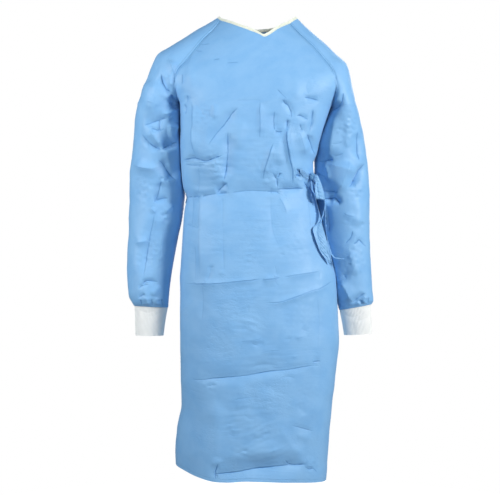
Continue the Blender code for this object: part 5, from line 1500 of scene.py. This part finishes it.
sleeveBackCreases = {
    "right": [
        ("crest", 3.0, 10, 9, 0.2, (-236, 120), (-230, 146), (-224, 172)),
        ("valley", 4.0, 10, 11, 0.7, (-258, 176), (-252, 200), (-238, 216), (-220, 224)),
        ("ridge", 4.0, 16, 22, 0, (-278, 190), (-282, 236), (-274, 284)),
        ("valley", 4.0, 12, 14, 0.7, (-294, 300), (-272, 306), (-248, 302), (-224, 290)),
        ("crest", 4.4, 18, 12, 0.2, (-286, 322), (-268, 344), (-246, 362)),
        ("valley", 4.0, 10, 16, 0.7, (-306, 352), (-288, 372), (-262, 384), (-238, 386)),
        ("crest", 3.6, 14, 12, 0.2, (-312, 398), (-286, 412), (-258, 414), (-232, 404)),
        ("valley", 3.6, 12, 14, 0.7, (-296, 428), (-272, 440), (-246, 438)),
        ("crest", 2.6, 12, 12, 0.2, (-272, 460), (-276, 505), (-270, 552)),
        ("valley", 3.2, 16, 18, 0.7, (-292, 520), (-296, 570), (-300, 622)),
        ("crest", 2.4, 12, 12, 0.2, (-252, 560), (-258, 612), (-262, 660)),
        ("trough", 2.6, 7, 7, 0.5, (-306, 690), (-286, 698), (-260, 692)),
        ("ridge", 2.4, 7, 7, 0, (-296, 724), (-290, 740), (-288, 752)),
        ("ridge", 2.4, 7, 7, 0, (-266, 722), (-262, 740), (-260, 752)),
        ("trough", 2.0, 5, 5, 0.5, (-278, 730), (-275, 752)),
    ],
    "left": [
        ("crest", 3.0, 9, 10, 0.2, (228, 142), (222, 168), (216, 192)),
        ("valley", 4.0, 11, 10, 0.7, (244, 188), (236, 212), (222, 226), (208, 232)),
        ("ridge", 3.4, 18, 16, 0, (248, 230), (254, 270), (250, 312)),
        ("valley", 3.8, 12, 14, 0.7, (268, 318), (248, 326), (226, 322), (208, 312)),
        ("crest", 4.4, 16, 12, 0.2, (214, 338), (236, 356), (262, 366)),
        ("valley", 4.2, 12, 15, 0.7, (206, 382), (230, 392), (256, 390), (276, 378)),
        ("crest", 3.8, 14, 12, 0.2, (196, 412), (222, 424), (250, 420), (272, 408)),
        ("valley", 3.4, 11, 12, 0.7, (202, 452), (224, 462), (248, 458)),
        ("crest", 2.6, 12, 12, 0.2, (252, 480), (256, 525), (250, 570)),
        ("valley", 3.0, 14, 16, 0.7, (222, 530), (228, 580), (236, 632)),
        ("crest", 2.4, 12, 12, 0.2, (268, 590), (272, 640), (276, 680)),
        ("trough", 2.6, 7, 7, 0.5, (232, 706), (252, 712), (276, 704)),
        ("ridge", 2.4, 7, 7, 0, (246, 728), (248, 742), (250, 754)),
        ("ridge", 2.4, 7, 7, 0, (274, 724), (276, 740), (277, 750)),
        ("trough", 2.0, 5, 5, 0.5, (262, 734), (263, 752)),
    ],
}
sleeveBackPatches = {
    "right": [
        (-262, 330, 20, 24, 1.3),
        (-268, 424, 24, 18, 1.4),
        (-272, 600, 26, 40, 0.8),
        (-276, 738, 24, 12, 1.7),
    ],
    "left": [
        (238, 340, 20, 22, 1.3),
        (240, 436, 24, 18, 1.4),
        (254, 600, 26, 40, 0.8),
        (262, 738, 22, 12, 1.7),
    ],
}


def makeSleeve(which):
    station, points, closed = sleeveGrid(which, sleevePiece["rows"], sleevePiece["columns"])
    like = np.where(np.arange(points.shape[1])[None, :, None] < points.shape[1] / 2, forward, backward)
    normals = outward(points, like)
    joined = normals[closed, 0] + normals[closed, -1]
    joined /= np.linalg.norm(joined, axis=-1, keepdims=True)
    normals[closed, 0], normals[closed, -1] = joined, joined
    _, below = gridLengths(points)
    distance, along = fromSeam(points, [points[:, 0], points[:, -1]])
    lift, offset, dark = creased(points, normals, sleeveCreases[which], sleevePatches[which], -1.0)
    behind = creased(points, normals, sleeveBackCreases[which], sleeveBackPatches[which], 1.0)
    lift = lift * sleevePiece["deepen"][which] + behind[0]
    offset, dark = np.where(normals[..., 1] > 0, behind[1], offset), dark + behind[2]
    girth, _ = gridLengths(points)
    crumple = crumpleLift("sleeve", girth, -points[..., 2], 3.0 + sideSign[which])
    lift = lift + crumple * calmed("sleeve", station)
    lift = lift * (1 - ramp(cut["sleeveEnd"] - sleevePiece["cuffCalm"], cut["sleeveEnd"], station))
    made = sewn(points, normals, lift, distance, along, below)
    made[~closed, 0], made[~closed, -1] = points[~closed, 0], points[~closed, -1]
    made[closed, -1] = made[closed, 0]
    distance = unstitched(distance, station)
    fold = offset, dark / mm
    piece = sheetPiece("sleeve_" + which + "_cloth", made, like, "panel", seam=(distance, along), fold=fold)
    placed(piece, "sleeve_" + which, cutSize(made))


# Knit cuffs

cuffColumns = "level outX outDown inX inDown halfDeep midY"
cuffCut = {
    "right": Table(
        cuffColumns,
        (0.0, -316.5, 752.3, -229.5, 756.9, 26.5, 5),
        (0.5, -314.5, 792.0, -236.0, 793.5, 24.5, 4),
        (1.0, -313.6, 829.7, -240.5, 829.7, 24.0, 3),
    ),
    "left": Table(
        cuffColumns,
        (0.0, 300.5, 748.8, 219.0, 764.3, 26.5, 22),
        (0.5, 302.5, 787.0, 225.0, 796.0, 24.5, 21),
        (1.0, 304.5, 825.8, 230.6, 829.7, 24.0, 20),
    ),
}
cuffPiece = {"ribs": 64, "perRib": 5, "rows": 40, "ribHigh": 0.35, "thick": 1.4}
cuffCreases = {
    "right": [
        ("valley", 1.3, 7, 7, 0, (-309, 757), (-298, 766), (-283, 771), (-268, 768), (-258, 760)),
        ("valley", 1.1, 7, 6, 0, (-286, 781), (-268, 779), (-250, 772), (-234, 765)),
        ("ridge", 0.7, 10, 12, 0, (-300, 778), (-296, 800), (-297, 826)),
        ("trough", 1.0, 9, 9, 0, (-262, 790), (-258, 808), (-260, 828)),
    ],
    "left": [
        ("valley", 1.1, 7, 7, 0, (226, 771), (240, 780), (258, 781), (272, 773), (284, 762)),
        ("valley", 0.9, 6, 6, 0, (258, 792), (278, 789), (296, 778)),
        ("ridge", 0.7, 10, 12, 0, (286, 776), (288, 800), (290, 824)),
        ("trough", 1.0, 9, 9, 0, (250, 792), (254, 810), (256, 828)),
    ],
}


def cuffSurface(which, level, angle, less):
    # The knit tube below a sleeve: level runs from 0 at the seam to 1 at its end.
    rows = cuffCut[which]
    out = np.stack([rows.at("outX", level), rows.at("outDown", level)])
    inner = np.stack([rows.at("inX", level), rows.at("inDown", level)])
    middle, half = (out + inner) / 2, (out - inner) / 2
    length = np.hypot(half[0], half[1])
    half = half * (length - less) / length
    deep = rows.at("halfDeep", level) - less
    x = middle[0] + half[0] * np.sin(angle)
    down = middle[1] + half[1] * np.sin(angle)
    return np.stack([x, rows.at("midY", level) - deep * np.cos(angle), -down], axis=-1)


def makeCuff(which):
    columns = cuffPiece["ribs"] * cuffPiece["perRib"]
    angle = -math.pi / 2 + np.linspace(0.0, 2 * math.pi, columns + 1)[None, :]
    level = np.linspace(0.0, 1.0, cuffPiece["rows"] + 1)[:, None]
    level, angle = np.broadcast_arrays(level, angle)
    rib = cuffPiece["ribHigh"] * (1 + np.cos(angle * cuffPiece["ribs"])) / 2
    points = cuffSurface(which, level, angle, cuffPiece["ribHigh"] - rib)
    smooth = cuffSurface(which, level, angle, 0 * level)
    like = np.where(np.cos(angle)[..., None] > 0, forward, backward)
    normals = outward(smooth, like)
    points = points + normals * creased(smooth, normals, cuffCreases[which], [], -1.0)[0][..., None]
    points[:, -1] = points[:, 0]
    piece = sheetPiece("cuff_" + which + "_knit", points, like, "knit", thick=cuffPiece["thick"])
    placed(piece, "cuff_" + which, cutSize(points))


# Neck binding

binding = {
    "frontColumns": 110, "armColumns": 22, "backColumns": 90, "proud": 0.5, "half": 1.1, "thick": 0.35,
    "steps": 7, "reach": 0.85, "thinned": 0.3, "turns": (60, 30, 0, -30, -60),
}


def makeBinding():
    # One strip folded over the neckline, from the under panel's edge round to the over panel's edge.
    def sleeveRun(which, shares):
        def surface(station):
            front, back, _, _ = sleeveAngles(which, station * np.ones_like(shares))
            return sleeveSurface(which, station * np.ones_like(shares), front + (back - front) * shares)

        return surface

    arm = np.linspace(0.0, 1.0, binding["armColumns"] + 1)[1:-1]
    front = np.linspace(-1.0, 1.0, binding["frontColumns"] + 1)
    under = np.linspace(cut["lap"], -1.0, binding["backColumns"] + 1)
    over = np.linspace(1.0, -cut["lap"], binding["backColumns"] + 1)
    runs = (
        (lambda station: bodySurface("back", under, station), lapShift(under, False)),
        (sleeveRun("right", arm[::-1]), 0 * arm),
        (lambda station: bodySurface("front", front, station), 0 * front),
        (sleeveRun("left", arm), 0 * arm),
        (lambda station: bodySurface("back", over, station), lapShift(over, True)),
    )
    top = np.concatenate([surface(0.0) for surface, _ in runs])
    low = np.concatenate([surface(firstStation(surface, cut["bindingWide"])) for surface, _ in runs])
    lap = np.concatenate([shift for _, shift in runs])
    ring = (top + low) / 2 - (top + low).mean(axis=0) / 2
    normals = outward(np.stack([top, low]), np.stack([ring, ring]))[0]
    upward = (top - low) / np.linalg.norm(top - low, axis=-1, keepdims=True)
    half = binding["half"]
    middle = binding["proud"] - half
    shares = np.linspace(0.0, binding["reach"], binding["steps"])
    section = [(share, 1.0 - binding["thinned"] * (abs(share - 0.5) * 2) ** 3) for share in shares]
    rows = []
    for share, out in section:
        rows.append(low + (top - low) * share + normals * (middle + half * out + lap)[:, None])
    for turn in np.radians(binding["turns"]):
        rise = half * math.cos(turn)
        rows.append(top + upward * (rise - half) + normals * (middle + half * math.sin(turn) + lap)[:, None])
    for share, out in section[::-1]:
        rows.append(low + (top - low) * share + normals * (middle - half * out + lap)[:, None])
    points = np.array(rows[::-1])
    distance = np.abs(np.linspace(-1.0, 1.0, len(rows)))[:, None] * np.ones(points.shape[1])[None, :]
    distance = (1 - distance) * cut["bindingWide"]
    toward = normals[None, :, :] * np.linspace(-1.0, 1.0, len(rows))[:, None, None]
    piece = sheetPiece(
        "neck_binding_strip", points, toward, "binding", thick=binding["thick"], seam=(distance, distance)
    )
    placed(piece, "neck_binding", cutSize(points))


# Neck closure

closure = {
    "neck_hook_tab": {"start": 0.06, "end": -0.50, "top": 1.05, "low": 2.15, "lift": 2.3, "thick": 1.0},
    "neck_loop_patch": {"start": -0.25, "end": -0.56, "top": 1.0, "low": 2.2, "lift": 0.5, "thick": 0.8},
}
tape = {"columns": 48, "rows": 24, "cornerFrom": 0.6, "cornerIn": 0.10}


def makeClosure(name, finish, under):
    size = closure[name]
    share = np.linspace(-1.0, 1.0, tape["columns"] + 1)[None, :]
    level = np.linspace(-1.0, 1.0, tape["rows"] + 1)[:, None]
    corner = np.clip((np.abs(level) - tape["cornerFrom"]) / (1 - tape["cornerFrom"]), 0.0, 1.0)
    rounded = 1 - tape["cornerIn"] * (1 - np.sqrt(1 - corner**2))
    across = (size["start"] + size["end"]) / 2 + (size["end"] - size["start"]) / 2 * share * rounded
    station = (size["top"] + size["low"]) / 2 + (size["low"] - size["top"]) / 2 * level * np.ones_like(share)
    points = bodySurface("back", across, station)
    normals = outward(points, backward)
    lift = size["lift"] + (lapShift(across, False) if under else 0 * across)
    points = points + normals * (lift + size["thick"])[..., None]
    piece = sheetPiece(name + "_tape", points, backward, finish, thick=size["thick"])
    placed(piece, name, cutSize(points))


# Belt and tie

beltDown = {"right": 474.0, "left": 426.0}
belt = {
    "wide": 26.0, "lift": 0.9, "thick": 0.8, "clear": 1.0, "pinch": 0.6, "pinchFrom": 0.3, "rows": 14,
    "start": -182.0, "reach": 336.0, "crimp": 0.5, "crimpAcross": 9.0, "crimpDown": 4.0, "crimpSwell": 23.0,
}
knot = {"x": 142.8, "y": -64.8, "down": 421.0, "wide": 8.0, "deep": 8.0, "high": 10.5}


def atDepth(points, column, down):
    # The place on a panel's column at a distance below the neck points.
    return np.array([np.interp(down, -points[:, column, 2], points[:, column, axis]) for axis in range(3)])


def makeBelt(front, backs):
    # From the wearer's right side seam, round the back and the left side, to the knot in front.
    rows = []
    inFront = [column for column in range(front.shape[1] // 2, front.shape[1] - 1)
               if atDepth(front, column, beltDown["left"])[0] > knot["x"]][::-1]
    for height in np.linspace(-0.5, 0.5, belt["rows"] + 1) * belt["wide"]:
        row = []
        for points, over in backs:
            for column in range(points.shape[1]):
                x = atDepth(points, column, beltDown["right"])[0]
                if (x > 0) == over:
                    row.append(atDepth(points, column, beltMiddle(x) + height))
        for number, column in enumerate(inFront, 1):
            pinch = 1 - belt["pinch"] * ramp(belt["pinchFrom"], 1.0, number / len(inFront))
            row.append(atDepth(front, column, beltDown["left"] + height * pinch))
        rows.append(row)
    points = np.array(rows)
    centre = points.mean(axis=(0, 1))
    like = (points - centre) * (1.0, 1.0, 0.0)
    normals = outward(points, like)
    crimp = belt["crimp"] * np.sin(points[..., 0] / belt["crimpAcross"] + points[..., 2] / belt["crimpDown"])
    crimp = crimp * np.sin(points[..., 0] / belt["crimpSwell"])
    points = points + normals * (belt["lift"] + belt["thick"] + belt["clear"] + crimp)[..., None]
    piece = sheetPiece("belt_strip", points, like, "strip", thick=belt["thick"])
    placed(piece, "belt_back", cutSize(points))


sewnEnd = Table(
    "x topDown topLift lowDown lowLift",
    (111.0, 404.0, -0.5, 411.0, -0.5), (115.0, 403.0, 1.4, 417.0, 1.2), (119.0, 404.5, 3.4, 423.0, 2.6),
    (123.0, 407.5, 3.0, 426.0, 3.4), (128.0, 411.0, 4.0, 430.0, 3.6), (135.0, 415.0, 4.0, 428.0, 4.0),
)
gathers = {
    "pleats": 4.5, "deep": 2.6, "slant": 0.09, "tuck": 0.4, "dark": 1.3, "columns": 48, "rows": 40,
    "thick": 0.8, "foldWide": 3.0, "from": 110.0, "full": 116.0, "darkFrom": 111.0, "rimFrom": 126.0,
    "rimTo": 134.0,
}


def makeSewnEnd(front):
    # The short tie's end, gathered where it is sewn on. Its pleats carry painted shade through the fold
    # layer.
    share = np.linspace(0.0, 1.0, gathers["columns"] + 1)
    places = np.linspace(sewnEnd.key[0], sewnEnd.key[-1], gathers["rows"] + 1)
    rows, pleats, shades = [], [], []
    for x in places:
        down = sewnEnd.at("topDown", x) + (sewnEnd.at("lowDown", x) - sewnEnd.at("topDown", x)) * share
        lift = sewnEnd.at("topLift", x) + (sewnEnd.at("lowLift", x) - sewnEnd.at("topLift", x)) * share
        pleat = np.abs(np.sin(math.pi * gathers["pleats"] * share + gathers["slant"] * (x - gathers["from"])))
        lift = lift - gathers["deep"] * (1 - pleat) ** 2 * ramp(gathers["from"], gathers["full"], x)
        rim = np.abs(2 * share - 1) ** 3 * (1 - ramp(gathers["rimFrom"], gathers["rimTo"], x))
        lift = lift - (lift + gathers["tuck"]) * rim
        # Painted shade: the gathers are darkened through the fold layer.
        shades.append(gathers["dark"] * (1 - rim) * ramp(gathers["darkFrom"], gathers["full"], x))
        columns = range(front.shape[1] * 2 // 3, front.shape[1])
        line = np.array([[atDepth(front, column, d) for column in columns] for d in (down[0], down[-1])])
        y = np.interp(down, (down[0], down[-1]), [np.interp(x, row[:, 0], row[:, 1]) for row in line])
        rows.append(np.stack([np.full_like(down, x), y - lift, -down], axis=-1))
        pleats.append(pleat)
    points = np.array(rows)
    fold = gathers["foldWide"] * np.array(pleats), np.array(shades) / mm
    piece = sheetPiece(
        "sewn_end_strip", points, forward, "strip", thick=gathers["thick"], fold=fold, centred=True
    )
    placed(piece, "tie_sewn_end", cutSize(points))


# Rows run along a ribbon: one edge's x, y and down, then the other edge's.
ribbons = {
    "tie_bow_loop": (
        (147.0, -71.2, 416.0, 148.5, -70.9, 424.0),
        (154.0, -77.0, 417.0, 150.5, -80.0, 432.0),
        (161.5, -79.0, 431.0, 149.5, -82.0, 446.0),
        (168.0, -79.5, 450.0, 149.5, -83.0, 462.0),
        (174.5, -78.0, 477.0, 151.5, -82.0, 474.5),
        (175.0, -75.0, 480.0, 152.5, -78.5, 478.5),
        (173.5, -72.0, 475.0, 152.5, -75.5, 473.0),
        (167.5, -70.5, 450.0, 152.0, -73.0, 458.0),
        (161.0, -69.5, 434.0, 153.5, -70.5, 442.0),
        (157.0, -67.5, 423.0, 155.5, -67.0, 433.0),
        (151.4, -66.8, 420.0, 151.2, -66.4, 427.0),
    ),
    "tie_tail_upper": (
        (149.0, -66.5, 428.4, 147.4, -61.5, 429.6),
        (154.0, -66.0, 438.0, 152.5, -56.5, 440.0),
        (161.0, -65.0, 450.0, 160.0, -49.5, 452.0),
        (169.0, -67.0, 464.0, 169.0, -45.0, 466.0),
        (174.0, -68.5, 480.0, 174.0, -44.0, 480.0),
        (175.2, -70.0, 498.0, 175.0, -46.0, 498.0),
        (171.5, -73.0, 514.0, 171.0, -50.0, 514.0),
        (166.5, -79.0, 530.0, 163.5, -62.0, 532.0),
        (165.5, -83.0, 537.0, 157.0, -76.0, 541.0),
    ),
    "tie_tail_broad": (
        (165.6, -83.2, 537.6, 156.8, -76.4, 541.6),
        (168.0, -83.5, 548.0, 143.5, -86.5, 553.0),
        (175.0, -79.0, 571.0, 147.0, -90.5, 572.0),
        (180.0, -77.0, 592.0, 153.5, -88.5, 592.0),
        (184.0, -75.0, 612.0, 162.0, -84.5, 612.0),
        (186.5, -73.5, 626.0, 173.0, -79.5, 627.0),
        (189.5, -71.0, 640.0, 187.5, -71.8, 641.0),
    ),
    "tie_tail_second": (
        (150.2, -62.5, 422.0, 149.6, -59.5, 425.0),
        (158.0, -57.0, 429.0, 157.0, -47.0, 431.0),
        (168.0, -50.0, 443.0, 168.0, -30.0, 445.0),
        (175.5, -42.0, 470.0, 175.5, -18.0, 470.0),
        (177.5, -40.0, 500.0, 177.5, -16.0, 500.0),
        (178.0, -44.0, 540.0, 178.0, -20.0, 540.0),
        (180.5, -58.0, 575.0, 181.5, -33.0, 575.0),
        (184.5, -68.0, 600.0, 187.5, -43.0, 600.0),
        (189.5, -70.0, 618.0, 193.5, -45.0, 618.0),
        (198.0, -70.5, 627.0, 201.0, -45.0, 627.0),
        (211.0, -70.0, 630.0, 212.0, -44.0, 630.0),
        (224.0, -69.0, 631.0, 224.0, -43.0, 631.0),
    ),
}
ribbonPiece = {
    "columns": 20, "steps": 8, "thick": 0.8, "crimp": 1.0, "crimpPitch": 12.0, "furrow": 2.0, "dark": 0.5,
    "swell": 13.0, "furrows": 1.45, "wander": 0.5, "wanderSpan": 16.0, "waver": 0.35, "waverSpan": 7.0,
    "roomFrom": 6.0, "roomTo": 22.0, "furrowRound": 1.5, "brokenSpan": 6.0,
}


def makeRibbon(name):
    rows = np.array(ribbons[name], dtype=float) * (1, 1, -1, 1, 1, -1)
    strip = ribbonPiece
    edge = smoothLine(rows[:, :3], strip["steps"])
    other = smoothLine(rows[:, 3:], strip["steps"])
    share = np.linspace(0.0, 1.0, strip["columns"] + 1)[None, :, None]
    points = edge[:, None] + (other - edge)[:, None] * share
    share = share[..., 0]
    normals = np.cross(np.gradient(points, axis=1), np.gradient(points, axis=0))
    normals /= np.maximum(np.linalg.norm(normals, axis=-1, keepdims=True), 1e-9)
    across, down = gridLengths(points)
    turn = 2 * math.pi / strip["crimpPitch"]
    crimp = np.sin(down * turn + across * 0.25) * np.sin(down / strip["swell"] + across * 0.5)
    bow = np.sin(share * math.pi)
    wander = strip["wander"] * np.sin(down / strip["wanderSpan"])
    waver = strip["waver"] * np.sin(down / strip["waverSpan"])
    furrows = np.abs(np.sin(strip["furrows"] * math.pi * share + wander + waver))
    wide = np.linalg.norm(other - edge, axis=-1)[:, None]
    room = ramp(strip["roomFrom"], strip["roomTo"], wide)
    lift = strip["crimp"] * crimp * bow - strip["furrow"] * room * bow * (1 - furrows) ** strip["furrowRound"]
    points = points + normals * lift[..., None]
    # Painted shade: the furrows are darkened along their lines through the fold layer.
    broken = 0.5 + 0.5 * np.sin(down / strip["brokenSpan"] + 2.0 * share)
    fold = furrows * wide / 4, strip["dark"] * room * broken / mm
    piece = sheetPiece(
        name + "_strip", points, normals, "strip", thick=strip["thick"], fold=fold, centred=True
    )
    placed(piece, name, cutSize(points))


knotPiece = {"around": 56, "rings": 36, "groove": 0.22, "turns": 2.5, "slant": 0.6, "fold": 0.03}


def makeKnot():
    # A rounded knot with shallow wraps round it.
    mesh = bpy.data.meshes.new("knot")
    work = bmesh.new()
    work.loops.layers.uv.new("cloth")
    size = {"u_segments": knotPiece["around"], "v_segments": knotPiece["rings"], "radius": 1.0}
    bmesh.ops.create_uvsphere(work, calc_uvs=True, **size)
    for vertex in work.verts:
        ball = vertex.co.copy()
        wrap = abs(math.sin(knotPiece["turns"] * (ball.z + knotPiece["slant"] * ball.x)))
        folds = knotPiece["fold"] * math.sin(14 * ball.x + 5 * ball.z)
        lift = 1 - knotPiece["groove"] * (1 - wrap) ** 2 + folds
        vertex.co.x = (knot["x"] + ball.x * lift * knot["wide"]) * mm
        vertex.co.y = (knot["y"] + ball.y * lift * knot["deep"]) * mm
        vertex.co.z = (-knot["down"] + ball.z * knot["high"]) * mm
    bmesh.ops.recalc_face_normals(work, faces=work.faces[:])
    work.to_mesh(mesh)
    work.free()
    mesh.shade_smooth()
    mesh.materials.append(finishes["strip"])
    made = bpy.data.objects.new("knot_wraps", mesh)
    bpy.context.collection.objects.link(made)
    placed(made, "tie_knot")


frontPoints = makeFront()
backPoints = [
    (makeBack("back_panel_under", "back_under_cloth", False), False),
    (makeBack("back_panel_over", "back_over_cloth", True), True),
]
for which in ("right", "left"):
    makeSleeve(which)
    makeCuff(which)
makeBinding()
makeClosure("neck_hook_tab", "hook", False)
makeClosure("neck_loop_patch", "loop", True)
makeBelt(frontPoints, backPoints)
makeSewnEnd(frontPoints)
for name in ribbons:
    makeRibbon(name)
makeKnot()
print("all pieces made")
